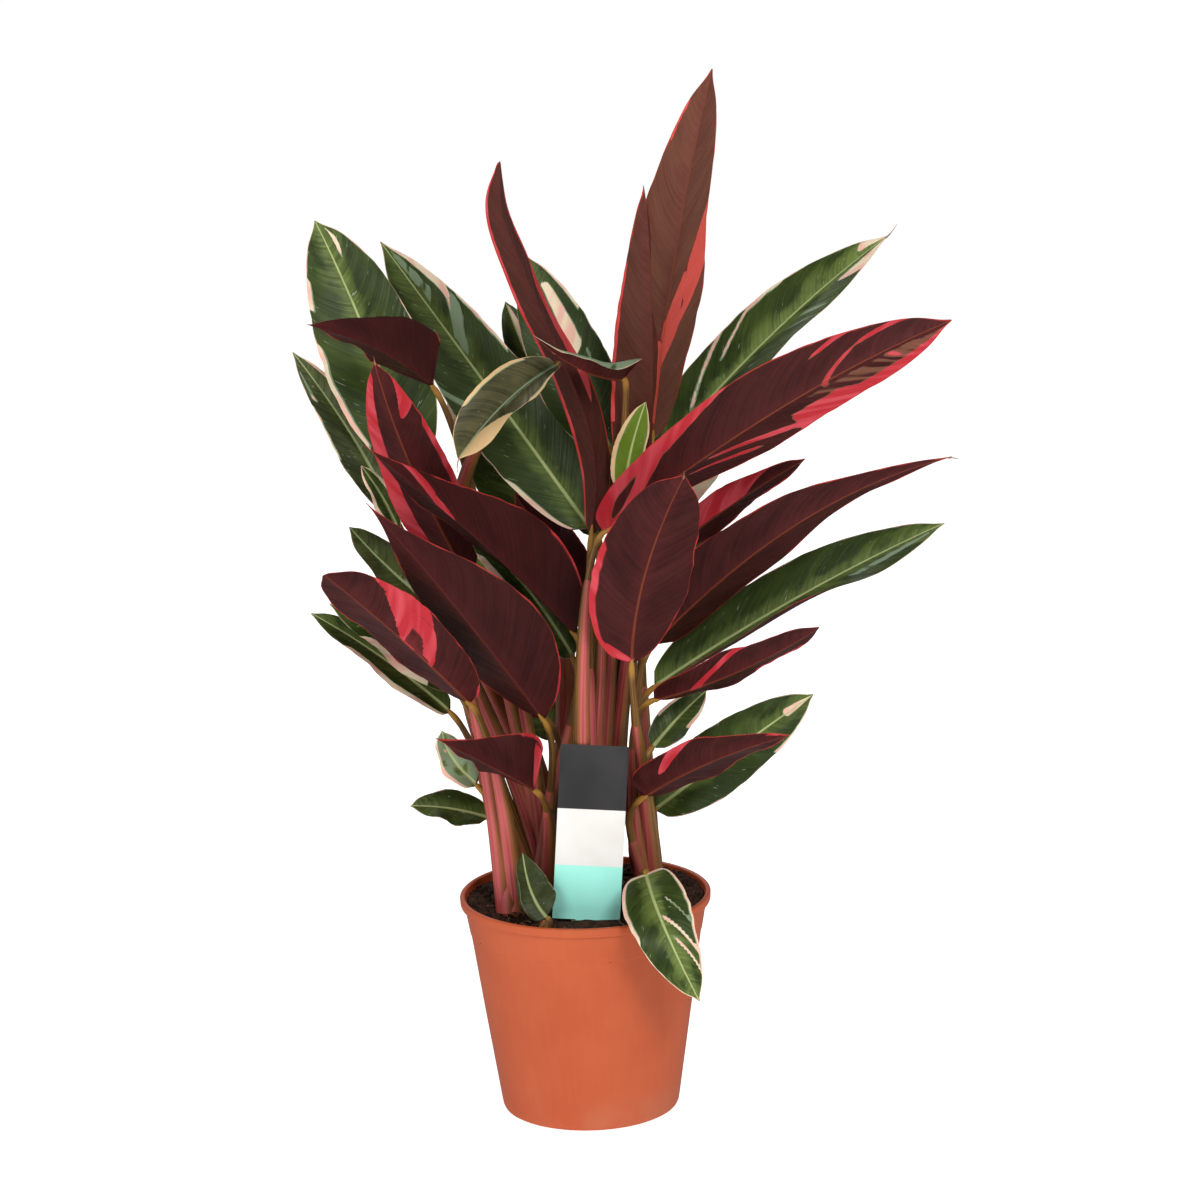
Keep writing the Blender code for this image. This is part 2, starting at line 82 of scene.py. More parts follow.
class Field:
    # one output of a node; whatever is worked out from it adds further nodes to the same tree
    def __init__(self, tree, socket):
        self.tree, self.socket = tree, socket

    def __add__(self, other):
        return maths(self.tree, "ADD", self, other)

    def __sub__(self, other):
        return maths(self.tree, "SUBTRACT", self, other)

    def __rsub__(self, other):
        return maths(self.tree, "SUBTRACT", other, self)

    def __mul__(self, other):
        return maths(self.tree, "MULTIPLY", self, other)

    def __truediv__(self, other):
        return maths(self.tree, "DIVIDE", self, other)

    def __pow__(self, other):
        return maths(self.tree, "POWER", self, other)

    def maths(self, operation, *others):
        return maths(self.tree, operation, self, *others)

    def vectorMaths(self, operation, *others):
        inputs = dict(enumerate((self, *others)))
        output = "Value" if operation == "LENGTH" else "Vector"
        return newField(self.tree, "ShaderNodeVectorMath", inputs, output, operation=operation)

    def scaled(self, factor):
        return newField(self.tree, "ShaderNodeVectorMath", {0: self, "Scale": factor}, operation="SCALE")

    def mapped(self, fromLow, fromHigh, toLow=0.0, toHigh=1.0, kind="SMOOTHSTEP"):
        inputs = {0: self, 1: fromLow, 2: fromHigh, 3: toLow, 4: toHigh}
        return newField(self.tree, "ShaderNodeMapRange", inputs, interpolation_type=kind)

    def mix(self, first, second):
        # the second colour's share is this field
        inputs = {0: self, 6: fourParts(first), 7: fourParts(second)}
        return newField(self.tree, "ShaderNodeMix", inputs, 2, data_type="RGBA")

    def noise(self, scale, detail=2.0, roughness=0.5):
        inputs = {"Vector": self, "Scale": scale, "Detail": detail, "Roughness": roughness}
        return newField(self.tree, "ShaderNodeTexNoise", inputs)

    def parts(self):
        outputs = addNode(self.tree, "ShaderNodeSeparateXYZ", {0: self}).outputs
        return [Field(self.tree, socket) for socket in outputs]

    def through(self, kind, inputs=None, **settings):
        # a geometry passed on through one more node
        return newField(self.tree, "GeometryNode" + kind, {0: self, **(inputs or {})}, **settings)

    def stored(self, name, value, kind="FLOAT_VECTOR", domain="POINT"):
        inputs = {"Name": name, "Value": value}
        return self.through("StoreNamedAttribute", inputs, data_type=kind, domain=domain)


def newShapeTree(name, inputs):
    tree = bpy.data.node_groups.new(name, "GeometryNodeTree")
    tree.interface.new_socket("Geometry", in_out="INPUT", socket_type="NodeSocketGeometry")
    tree.interface.new_socket("Geometry", in_out="OUTPUT", socket_type="NodeSocketGeometry")
    kinds = {float: "NodeSocketFloat", int: "NodeSocketInt", type(None): "NodeSocketMaterial"}
    for label, value in inputs.items():
        socket = tree.interface.new_socket(label, in_out="INPUT", socket_type=kinds[type(value)])
        if value is not None:
            socket.default_value = value
    given = tree.nodes.new("NodeGroupInput").outputs
    return tree, {socket.name: Field(tree, socket) for socket in given if socket.name}


def finishShapeTree(tree, geometry):
    result = tree.nodes.new("NodeGroupOutput")
    tree.links.new(geometry.socket, result.inputs[0])
    return tree


def namedField(tree, name, kind="FLOAT_VECTOR"):
    return newField(tree, "GeometryNodeInputNamedAttribute", {"Name": name}, "Attribute", data_type=kind)


# Helpers for pieces and finishes

def makePiece(name, mesh):
    piece = bpy.data.objects.new(name, mesh)
    bpy.context.scene.collection.objects.link(piece)
    return piece


def meshFromBmesh(name, form):
    mesh = bpy.data.meshes.new(name)
    form.to_mesh(mesh)
    form.free()
    return mesh


def settle(piece):
    # the evaluated shape becomes a plain mesh
    bpy.context.view_layer.update()
    evaluated = piece.evaluated_get(bpy.context.evaluated_depsgraph_get())
    mesh = bpy.data.meshes.new_from_object(evaluated)
    piece.modifiers.clear()
    old = piece.data
    piece.data = mesh
    bpy.data.meshes.remove(old)
    return piece


def growWith(piece, tree, values):
    modifier = piece.modifiers.new(tree.name, "NODES")
    modifier.node_group = tree
    for item in tree.interface.items_tree:
        if item.item_type == "SOCKET" and item.in_out == "INPUT" and item.name in values:
            modifier[item.identifier] = values[item.name]
    return settle(piece)


def putAttribute(mesh, name, values, kind="FLOAT_VECTOR"):
    attribute = mesh.attributes.new(name, kind, "POINT")
    part = "vector" if kind == "FLOAT_VECTOR" else "value"
    attribute.data.foreach_set(part, np.ascontiguousarray(values, dtype=np.float32).ravel())


def keepPiece(piece, slot, *nodes):
    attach(piece, "root")
    if nodes:
        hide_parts(*nodes)


def newFinish(name, **settings):
    finish = bpy.data.materials.new(name)
    finish.use_nodes = True
    for key, value in settings.items():
        finish.node_tree.nodes["Principled BSDF"].inputs[key.replace("_", " ")].default_value = value
    return finish, finish.node_tree


def dressed(finish, face, relief=None, roughness=None):
    # its colour, its relief as height, strength and distance in metres, and where it is duller
    tree = finish.node_tree
    shader = tree.nodes["Principled BSDF"]
    tree.links.new(face.socket, shader.inputs["Base Color"])
    if roughness:
        tree.links.new(roughness.socket, shader.inputs["Roughness"])
    if relief:
        height, strength, distance = relief
        inputs = {"Strength": strength, "Distance": distance, "Height": height}
        bump = addNode(tree, "ShaderNodeBump", inputs)
        tree.links.new(bump.outputs[0], shader.inputs["Normal"])
    return finish


def attributeOf(tree, name, output="Vector"):
    return newField(tree, "ShaderNodeAttribute", output=output, attribute_name=name)


def objectPlace(tree):
    return newField(tree, "ShaderNodeTexCoord", output="Object")


# Camera at the photograph's viewing angle

cameraView = {"place": (0.0155, -2.4, 0.894), "pitchDown": 12.73, "roll": 1.60, "focalPixels": 3696,
              "framePixels": 1200, "sensor": 36}


def placeCamera():
    data = bpy.data.cameras.new("camera")
    data.sensor_width = cameraView["sensor"]
    data.lens = cameraView["focalPixels"] / cameraView["framePixels"] * data.sensor_width
    camera = bpy.data.objects.new("camera", data)
    bpy.context.scene.collection.objects.link(camera)
    turn = Matrix.Rotation(math.radians(90 - cameraView["pitchDown"]), 4, "X")
    roll = Matrix.Rotation(math.radians(-cameraView["roll"]), 4, "Z")
    camera.matrix_world = Matrix.Translation(cameraView["place"]) @ turn @ roll
    bpy.context.scene.camera = camera


placeCamera()
print("camera placed")


# Finishes of the two faces of a blade

leafColours = {
    "green": (0.020, 0.034, 0.0060), "greenLight": (0.062, 0.092, 0.0165), "vein": (0.185, 0.250, 0.062),
    "midrib": (0.50, 0.56, 0.24), "greyGreen": (0.23, 0.31, 0.19), "cream": (0.83, 0.68, 0.48),
    "creamPink": (0.83, 0.48, 0.37), "olive": (0.105, 0.092, 0.042), "oliveDark": (0.024, 0.027, 0.013),
    # the greyish fleck colour on this line is a painted highlight: specks standing in for specular glints
    "tan": (0.62, 0.42, 0.20), "paintedGlint": (0.50, 0.56, 0.42), "burgundy": (0.033, 0.0062, 0.0058),
    "burgundyLight": (0.073, 0.0135, 0.0120), "pink": (0.42, 0.019, 0.028),
    "pinkLight": (0.54, 0.060, 0.078), "rosy": (0.15, 0.016, 0.019), "ribRed": (0.24, 0.050, 0.020),
    "rim": (0.44, 0.034, 0.026),
    # the two warm colours: painted light glowing through a backlit underside; warm is also a tan on olive
    # leaves
    "warm": (0.185, 0.070, 0.040), "backlitPink": (0.62, 0.088, 0.062), "young": (0.120, 0.190, 0.012),
}
# Noises drawn out along the side veins: their scale up the midrib and across, and their detail
veinNoises = {"streak": (0.085, 0.9, 1.0), "fine": (0.35, 0.9, 1.0), "rib": (0.33, 0.35, 2.0),
              # the last noise places painted glints, pale specks standing in for specular highlights
              "line": (0.62, 0.30, 1.0), "band": (0.055, 1.2, 2.0), "paintedGlintSpots": (0.85, 4.0, 1.0)}
# How pale a place must be to show the colour between and then the pale one, on the upper face and the lower
leafLook = {"streakStrength": 0.75, "fineStrength": 0.14, "mottleScale": 55.0, "mottleStrength": 0.45,
            "rimTurns": 7.0, "relief": 0.0006, "upperBetween": (0.40, 0.44), "upperPale": (0.54, 0.58),
            "lowerBetween": (0.40, 0.46), "lowerPale": (0.51, 0.55)}


def veinNoise(tree, name):
    along, across, detail = veinNoises[name]
    return attributeOf(tree, "veinPlace").vectorMaths("MULTIPLY", (along, across, 1)).noise(1.0, detail)


def leafPlaces(tree):
    # how pale, three noises, distances from midrib and margin, place along, tints (warm is painted light
    # through a backlit underside), deep, a darkening partly for painted shade, and a seed
    look = leafLook
    wide = veinNoise(tree, "streak")
    spread = (veinNoise(tree, "fine") - 0.5) * look["fineStrength"] + (wide - 0.5) * look["streakStrength"]
    # deep darkens the whole leaf: partly its own darker colour, partly painted shade where it lies in shadow
    deep, jagged, seed = attributeOf(tree, "mood").parts()
    pale = spread * jagged + attributeOf(tree, "pale", "Fac")
    lines = veinNoise(tree, "line").mapped(0.40, 0.60)
    ribs = lines * 0.5 + veinNoise(tree, "rib").mapped(0.36, 0.64) * 0.5
    mottle = objectPlace(tree).noise(look["mottleScale"], 4.0, 0.6).mapped(0.32, 0.68, -0.5, 0.5)
    bands = veinNoise(tree, "band").mapped(0.26, 0.74)
    bands = maths(tree, "MULTIPLY_ADD", mottle, look["mottleStrength"], bands, clamp=True)
    places, tints = (attributeOf(tree, name).parts() for name in ("edgePlace", "tint"))
    return pale, wide, ribs, bands, places, tints, deep, seed


def midribShare(toMidrib, along, wide, heelReach, tipReach, strength):
    reach = along.mapped(0.0, 1.0, heelReach, tipReach, "LINEAR")
    return (toMidrib / reach).mapped(0.4, 1.3, 1.0, 0.0) * (wide.mapped(0.3, 0.6, 0.65, 1.0) * strength)


def rimShare(toMargin, wide, along, seed, reach, strength):
    # the coloured margin comes and goes along the blade
    drift = combined(along.tree, along * leafLook["rimTurns"], 0.0, seed)
    shown = drift.noise(1.0, 1.0).mapped(0.34, 0.58, 0.35, 1.0)
    return (toMargin - wide * reach * shown).mapped(-0.25, 0.25, strength, 0.0) * shown


def upperFinish():
    colour, look = leafColours, leafLook
    finish, tree = newFinish("leaf upper face", Specular_IOR_Level=0.16)
    pale, wide, ribs, bands, (toMidrib, toMargin, along), (_, young, olive), deep, seed = leafPlaces(tree)
    # deep darkens the green and dims the halo and rim: partly the leaf's own darker colour, partly painted
    # shade
    shade = (ribs * 0.34 + (bands * 0.46 - 0.06)) * (deep * -0.72 + 1.0)
    green = shade.mix(colour["green"], colour["greenLight"])
    halo = (toMidrib / (bands * 8.0 + 4.0)).mapped(0.1, 1.5, 0.74, 0.0)
    halo = halo * (ribs * 0.55 + 0.45) * (deep * -0.68 + 1.0)
    green = halo.mix(green, colour["vein"])
    streaks = ribs * 0.55 + bands * 0.5
    green = olive.mix(green, streaks.mix(colour["oliveDark"], colour["olive"]))
    green = young.mix(green, colour["young"])
    face = pale.mapped(*look["upperBetween"], 0.0, 0.85).mix(green, colour["greyGreen"])
    # painted highlight: pale specks standing in for specular glints on the green
    face = veinNoise(tree, "paintedGlintSpots").mapped(0.735, 0.775, 0.0, 0.42).mix(face, colour["paintedGlint"])
    cream = wide.mapped(0.40, 0.60).mix(colour["cream"], colour["creamPink"])
    cream = young.maths("MAXIMUM", olive).mix(cream, colour["tan"])
    face = pale.mapped(*look["upperPale"]).mix(face, cream)
    rim = rimShare(toMargin, wide, along, seed, 1.2, 0.85) * (deep * -0.6 + 1.0)
    face = rim.mix(face, cream)
    midrib = olive.mix(colour["midrib"], colour["greyGreen"])
    face = midribShare(toMidrib, along, wide, 1.5, 0.42, 0.85).mix(face, midrib)
    relief = ribs * -0.6 + bands * 0.3
    return dressed(finish, face, (relief, 0.35, look["relief"]), ribs.mapped(0.0, 1.0, 0.46, 0.36))


def lowerFinish():
    colour, look = leafColours, leafLook
    finish, tree = newFinish("leaf underside", Specular_IOR_Level=0.14)
    pale, wide, ribs, bands, (toMidrib, toMargin, along), (warm, _, olive), deep, seed = leafPlaces(tree)
    # deep darkens the burgundy: partly the leaf's own darker colour, partly painted shade
    shade = (ribs * 0.42 + (bands * 0.50 - 0.05)) * (deep * -0.5 + 1.0)
    dark = shade.mix(colour["burgundy"], colour["burgundyLight"])
    # painted light: a warm brown glow where light shines through a backlit underside, set by the warm tint
    brown = (ribs * 0.30 + (bands * 0.25 + 0.45)).mix(colour["burgundyLight"], colour["warm"])
    dark = warm.mix(dark, brown)
    dark = toMidrib.mapped(0.5, 10.0, 0.16, 0.0).mix(dark, colour["rosy"])
    between = olive.mix(colour["rosy"], colour["warm"])
    face = pale.mapped(*look["lowerBetween"], 0.0, 0.8).mix(dark, between)
    pink = wide.mapped(0.38, 0.64).mix(colour["pink"], colour["pinkLight"])
    pink = (ribs * 0.30).mix(pink, colour["pink"])
    # painted light: pink patches glow warmer where light shines through a backlit underside
    pink = warm.mix(pink, colour["backlitPink"])
    face = pale.mapped(*look["lowerPale"]).mix(face, pink)
    face = rimShare(toMargin, wide, along, seed, 1.5, 0.85).mix(face, colour["rim"])
    # deep also dims the red midrib, as painted shade
    rib = midribShare(toMidrib, along, wide, 1.25, 0.35, 0.66) * (deep * -0.9 + 1.0)
    face = rib.mix(face, colour["ribRed"])
    relief = ribs * 0.6 + bands * 0.3
    return dressed(finish, face, (relief, 0.38, look["relief"]), ribs.mapped(0.0, 1.0, 0.52, 0.42))


upperFace = upperFinish()
lowerFace = lowerFinish()


# Leaves: the same midribs, widths and turns as the solids

# Outlines: the powers by which the half width rises from the heel and falls towards the tip
lance, oblong, broad, heart, strap = (0.52, 0.80), (0.50, 0.60), (0.38, 0.95), (0.25, 1.30), (0.40, 0.78)


def bladeForm(shoot, heel, via, tip, width, turn, fold=14, twist=0, outline=lance, bow=None, lead=30, sway=0,
              bulge=(0, 0.5, 0.1)):
    # mm and degrees: turn 0 shows the upper face to the front and 180 the underside; sway bends it into
    # an S, and bulge pushes it aside by so many mm, at a place up the blade and for some reach
    return dict(shoot=shoot, heel=heel, via=via, tip=tip, width=width, turn=turn, fold=fold, twist=twist,
                outline=outline, bow=bow, lead=lead, sway=sway, bulge=bulge)


leaves = {
    "leaf_01": bladeForm("shoot_spear", (53, 25, 454), (71, 10, 580), (97, -10, 701), 60, 210, fold=16),
    "leaf_02": bladeForm("shoot_spear", (49, 0, 424), (54, -14, 534), (51, -25, 629), 54, 226, fold=38,
                         outline=broad),
    "leaf_03": bladeForm("shoot_centre", (11, -8, 398), (-6, -22, 520), (-39, -35, 648), 30, 186, fold=44,
                         twist=45, outline=(0.27, 0.36), sway=8.6, bulge=(-5.5, 0.88, 0.11)),
    "leaf_04": bladeForm("shoot_spear", (26, 34, 447), (-4, 50, 511), (-28, 70, 574), 54, 5),
    "leaf_05": bladeForm("shoot_back_left", (-18, 82, 478), (-31, 92, 507), (-43, 104, 538), 26, 0),
    "leaf_06": bladeForm("shoot_back_left", (-106, 34, 438), (-136, 50, 527), (-168, 70, 601), 70, 0),
    "leaf_07": bladeForm("shoot_centre", (10, 15, 398), (-57, 64, 488), (-127, 115, 580), 60, 5),
    "leaf_08": bladeForm("shoot_mid_left", (-90, -10, 500), (-121, -36, 528), (-166, -58, 550), 80, 169,
                         fold=56, twist=-9, outline=(0.19, 1.06)),
    "leaf_09": bladeForm("shoot_back_left", (-122, 32, 409), (-148, 46, 459), (-186, 60, 514), 32, 15),
    "leaf_10": bladeForm("shoot_mid_left", (-118, 6, 403), (-127, 0, 426), (-139, -8, 448), 16, 20),
    "leaf_11": bladeForm("shoot_mid_left", (-72, -5, 372), (-104, -35, 450), (-124, -65, 526), 48, 172),
    "leaf_12": bladeForm("shoot_mid_left", (-8, -35, 516), (-40, -62, 498), (-72, -80, 465), 43, 35, fold=39,
                         twist=-23, outline=(0.70, 0.57), bow=(-165, 20, 474), lead=22),
    "leaf_13": bladeForm("shoot_mid_left", (-2, -10, 331), (-60, -60, 405), (-130, -100, 478), 84, 165,
                         fold=57, twist=38, outline=(0.66, 1.49)),
    "leaf_14": bladeForm("shoot_mid_left", (-24, -30, 278), (-79, -95, 374), (-128, -140, 449), 83, 169,
                         fold=35, twist=12, outline=(0.64, 1.90)),
    "leaf_15": bladeForm("shoot_left", (-72, -50, 296), (-112, -95, 351), (-157, -130, 402), 56, 148,
                         fold=18, outline=(0.50, 0.46)),
    "leaf_16": bladeForm("shoot_left", (-85, -10, 299), (-123, -35, 339), (-160, -55, 366), 40, 45),
    "leaf_17": bladeForm("shoot_left", (-88, 15, 274), (-131, 0, 316), (-176, -10, 350), 30, 45),
    "leaf_18": bladeForm("shoot_left", (-97, -10, 354), (-124, -18, 382), (-147, -26, 411), 30, 40),
    "leaf_19": bladeForm("shoot_mid_left", (-4, 14, 310), (-36, -2, 365), (-69, -16, 399), 36, 30),
    "leaf_20": bladeForm("shoot_mid_left", (-31, -45, 234), (-56, -75, 258), (-93, -95, 285), 68, 168,
                         fold=50, outline=(0.26, 1.33)),
    "leaf_21": bladeForm("shoot_left", (-71, -2, 227), (-87, -5, 248), (-92, -10, 267), 24, 30),
    "leaf_22": bladeForm("shoot_left", (-65, 15, 199), (-90, 15, 206), (-116, 10, 210), 28, 50),
    "leaf_23": bladeForm("shoot_spear", (34, -13, 427), (39, -20, 457), (49, -24, 488), 24, -20),
    "leaf_24": bladeForm("shoot_spear", (35, -30, 505), (8, -58, 517), (-22, -85, 544), 54, 108, fold=36,
                         outline=heart, bow=(10, 30, 300), lead=12),
    "leaf_25": bladeForm("shoot_spear", (55, 48, 434), (134, 72, 513), (217, 95, 577), 58, -52, fold=20),
    "leaf_26": bladeForm("shoot_centre", (19, -36, 405), (132, -76, 490), (239, -115, 550), 66, -150,
                         fold=16, twist=-50, outline=strap, bow=(-2, -67, 300), lead=20),
    "leaf_27": bladeForm("shoot_right", (35, -55, 321), (45, -80, 386), (71, -105, 454), 66, -170,
                         outline=oblong),
    "leaf_28": bladeForm("shoot_right_back", (50, 14, 371), (102, 10, 410), (153, 0, 443), 30, -150,
                         lead=16),
    "leaf_29": bladeForm("shoot_right", (50, 0, 320), (146, -30, 406), (244, -60, 453), 64, -145, fold=18,
                         outline=(0.32, 1.40)),
    "leaf_30": bladeForm("shoot_right_back", (51, 22, 286), (150, 28, 344), (248, 34, 390), 54, -48),
    "leaf_31": bladeForm("shoot_right", (50, -15, 286), (104, -40, 310), (157, -60, 343), 42, -134,
                         outline=oblong),
    "leaf_32": bladeForm("shoot_right", (48, -6, 251), (66, 6, 268), (85, 16, 283), 24, -20),
    "leaf_33": bladeForm("shoot_right_back", (49, 24, 199), (105, 20, 241), (157, 18, 278), 46, -20),
    "leaf_34": bladeForm("shoot_right", (41, -25, 222), (86, -50, 252), (136, -75, 275), 52, -140,
                         outline=broad),
    "leaf_35": bladeForm("sucker_right", (41, -52, 177), (51, -96, 155), (73, -106, 106), 44, -5, lead=14),
    "leaf_36": bladeForm("shoot_spear", (6, 40, 351), (-16, 44, 382), (-40, 52, 415), 34, 170),
    "leaf_37": bladeForm("shoot_back_left", (-24, 40, 262), (-42, 40, 283), (-60, 40, 301), 26, 170),
    "leaf_38": bladeForm("sucker_front", (-25, -58, 150), (-35, -52, 166), (-40, -48, 192), 30, 10, lead=3),
    "leaf_39": bladeForm("shoot_right_back", (25, 70, 300), (61, 110, 340), (94, 135, 376), 48, -20),
    "leaf_40": bladeForm("shoot_back_left", (-23, 75, 308), (-67, 110, 358), (-108, 140, 396), 48, 25),
    "leaf_41": bladeForm("shoot_back_left", (-11, 80, 363), (-51, 120, 426), (-85, 150, 478), 50, 12),
    "leaf_42": bladeForm("shoot_right_back", (44, 75, 375), (89, 105, 431), (142, 130, 463), 44, -20),
    "leaf_43": bladeForm("shoot_back_left", (16, 90, 375), (5, 128, 432), (-1, 152, 482), 46, 0),
    "leaf_44": bladeForm("shoot_back_left", (-15, 80, 235), (-42, 110, 264), (-77, 140, 287), 36, 15),
}

# Pale patches of a blade, drawn in its own places: (side, from, to, side, from, to, strength), where side
# runs from -1 to 1 across the blade, and from and to along its veins from 0 at the heel to 1 at the tip
patches = {
    "leaf_01": [(-1.3, .34, .52, -.5, .23, .41), (-.5, .23, .41, .05, .18, .32),
                (-.06, .04, .26, .14, .04, .26), (.88, .68, .85, 1.3, .68, .85)],
    "leaf_02": [(.9, .1, .6, 1.3, .1, .6)],
    "leaf_03": [(-1.3, .26, .60, -.62, .26, .60), (.86, -.1, .97, 1.3, -.1, .97),
                (-1.3, .60, .97, -.9, .60, .97)],
    "leaf_04": [(.20, .43, .84, .58, .42, .80), (.90, .50, .95, 1.3, .50, .95),
                (.55, .30, .40, .62, .30, .40), (.80, .18, .30, .86, .18, .30),
                (.30, .16, .26, .36, .16, .26, .47)],
    "leaf_05": [(.0, .35, .95, .45, .35, .95)],
    "leaf_06": [(.32, .78, .84, .62, .86, .96), (-1.3, .50, .68, -.88, .50, .66),
                (-1.3, .04, .38, -.90, .04, .36)],
    "leaf_07": [(.72, .66, 1.1, 1.3, .66, 1.1), (.05, .76, .95, .62, .76, .97, .47),
                (.0, .58, .66, 1.0, .60, .72, .47), (.93, .36, .62, 1.3, .36, .62),
                (-1.3, .36, .45, -.5, .35, .42, .46), (-1.3, -.1, .14, -.86, -.1, .12)],
    "leaf_08": [(-1.3, -.1, .05, -.90, -.1, .03)],
    "leaf_09": [(.80, .30, .97, 1.3, .30, .97), (-1.3, .25, .60, -.92, .25, .60),
                (-.85, .66, .90, -.55, .66, .86, .62)],
    "leaf_10": [(.7, .0, 1.1, 1.3, .0, 1.1), (-1.3, .0, 1.1, -.7, .0, 1.1)],
    "leaf_11": [(.60, -.1, .90, 1.3, -.1, .93), (-1.3, .62, .95, -.30, .69, .72),
                (-1.3, .16, .56, -.84, .18, .54)],
    "leaf_12": [(.88, .10, .60, 1.3, .10, .60), (-1.3, .30, 1.1, -.05, .78, 1.1),
                (-1.3, .05, .30, -.88, .05, .30), (-.30, .05, .50, -.05, .05, .56, .46)],
    "leaf_13": [(-1.3, .70, .78, -.3, .68, .76), (-.3, .68, .76, .08, .60, .70),
                (-1.3, .02, .16, -.96, .02, .16)],
    "leaf_14": [(-1.3, -.1, .04, -.92, -.1, .03)],
    "leaf_15": [(-1.3, .42, .82, -.75, .33, .69), (-.75, .33, .69, -.3, .29, .60),
                (-.3, .29, .60, .03, .28, .50), (-.46, .40, .48, .04, .34, .50, -.58),
                (-.14, .32, .44, .16, .28, .40, -.58), (-1.3, -.1, .03, -.8, -.1, .02)],
    "leaf_16": [(-1.3, .05, .62, -.66, .10, .56), (-.7, .1, .5, -.1, .1, .5, .50)],
    "leaf_17": [(-1.3, -.1, .64, -.76, -.1, .60)],
    "leaf_18": [(-.1, .2, .7, .3, .2, .7, .38)],
    "leaf_19": [(-1.3, .45, .85, -.6, .5, .8), (-1.3, .1, .5, -.9, .1, .5)],
    "leaf_20": [(-1.3, -.1, .22, -.92, -.1, .20), (-.86, -.1, .07, -.1, -.1, .03)],
    "leaf_21": [(-1.3, .0, 1.1, -.8, .0, 1.1), (-1.3, .0, 1.1, 1.3, .0, 1.1, .45)],
    "leaf_22": [(-.3, .2, .6, .3, .2, .6, .40)],
    "leaf_23": [(-1.3, -.1, 1.1, -.74, -.1, 1.1), (.88, .3, 1.1, 1.3, .3, 1.1)],
    "leaf_24": [(.6, .0, 1.1, 1.3, .0, 1.1, .5), (-1.3, .0, 1.1, -.6, .0, 1.1, .5)],
    "leaf_25": [(.35, .74, 1.1, 1.3, .78, 1.1), (-1.3, .39, .43, -.4, .27, .31, .62),
                (-1.3, .26, .30, -.15, .15, .19, .62), (-1.3, .36, .52, -.90, .36, .50),
                (.3, .15, .75, 1.3, .15, .75, .38), (-1.3, .86, 1.1, -.3, .88, 1.1)],
    "leaf_26": [(-1.3, .26, 1.1, -.66, .40, 1.1), (-.9, .36, .62, -.46, .44, .60),
                (-.8, .34, .40, -.16, .26, .29), (-.8, .24, .29, -.30, .18, .20),
                (-.70, .60, 1.0, -.06, .52, .86, .455), (.62, -.1, .17, 1.3, -.1, .36),
                (-.50, -.1, .03, .62, -.1, .16), (.2, .02, .06, .7, .04, .10, -.80),
                (.66, .53, .56, 1.3, .60, .66), (-.2, .60, .625, .55, .68, .71, .75),
                (.55, .68, .72, 1.3, .80, .90)],
    "leaf_27": [(.86, .0, .42, 1.3, .0, .44), (-.2, -.1, .02, .86, -.1, .05)],
    "leaf_28": [(.05, .02, .62, 1.3, .06, .76), (-1.3, .42, .82, -.86, .45, .80)],
    "leaf_30": [(.2, .62, .95, .6, .62, .95, .44)],
    "leaf_31": [(-.25, .15, .22, 1.1, .44, .53), (-1.3, .36, .78, -.84, .38, .76)],
    "leaf_32": [(.78, .3, 1.1, 1.3, .3, 1.1), (-1.3, .2, 1.1, -.84, .2, 1.1)],
    "leaf_33": [(.92, .5, 1.1, 1.3, .5, 1.1), (-.28, .80, 1.1, .25, .80, 1.1, .75)],
    "leaf_34": [(.38, .14, .20, 1.3, .24, .40), (.5, .82, .92, 1.3, .82, 1.0, .6)],
    "leaf_35": [(-1.3, -.1, .80, -.92, -.1, .78), (.88, -.1, .40, 1.3, -.1, .44),
                (-1.0, .42, .47, -.30, .23, .28, .58), (-1.0, .61, .66, -.04, .40, .45, .80),
                (-1.0, .76, .81, -.16, .56, .61, .75), (-1.3, -.1, .03, 1.3, -.1, .03)],
    "leaf_36": [(.4, .45, .8, 1.3, .45, .9)],
    "leaf_39": [(-1.3, .1, .5, -.88, .1, .5)],
    "leaf_40": [(-1.3, .20, .46, -.45, .16, .40), (.90, .3, .9, 1.3, .3, .9)],
    "leaf_41": [(-1.3, .52, .92, -.35, .58, .80)],
    "leaf_42": [(.50, .10, .46, 1.3, .16, .60), (-.9, .60, .66, -.2, .50, .55)],
    "leaf_43": [(-.15, .30, .42, .60, .38, .50), (.60, .38, .50, 1.3, .46, .64)],
    "leaf_44": [(.62, .30, .90, 1.3, .30, .90)],
}
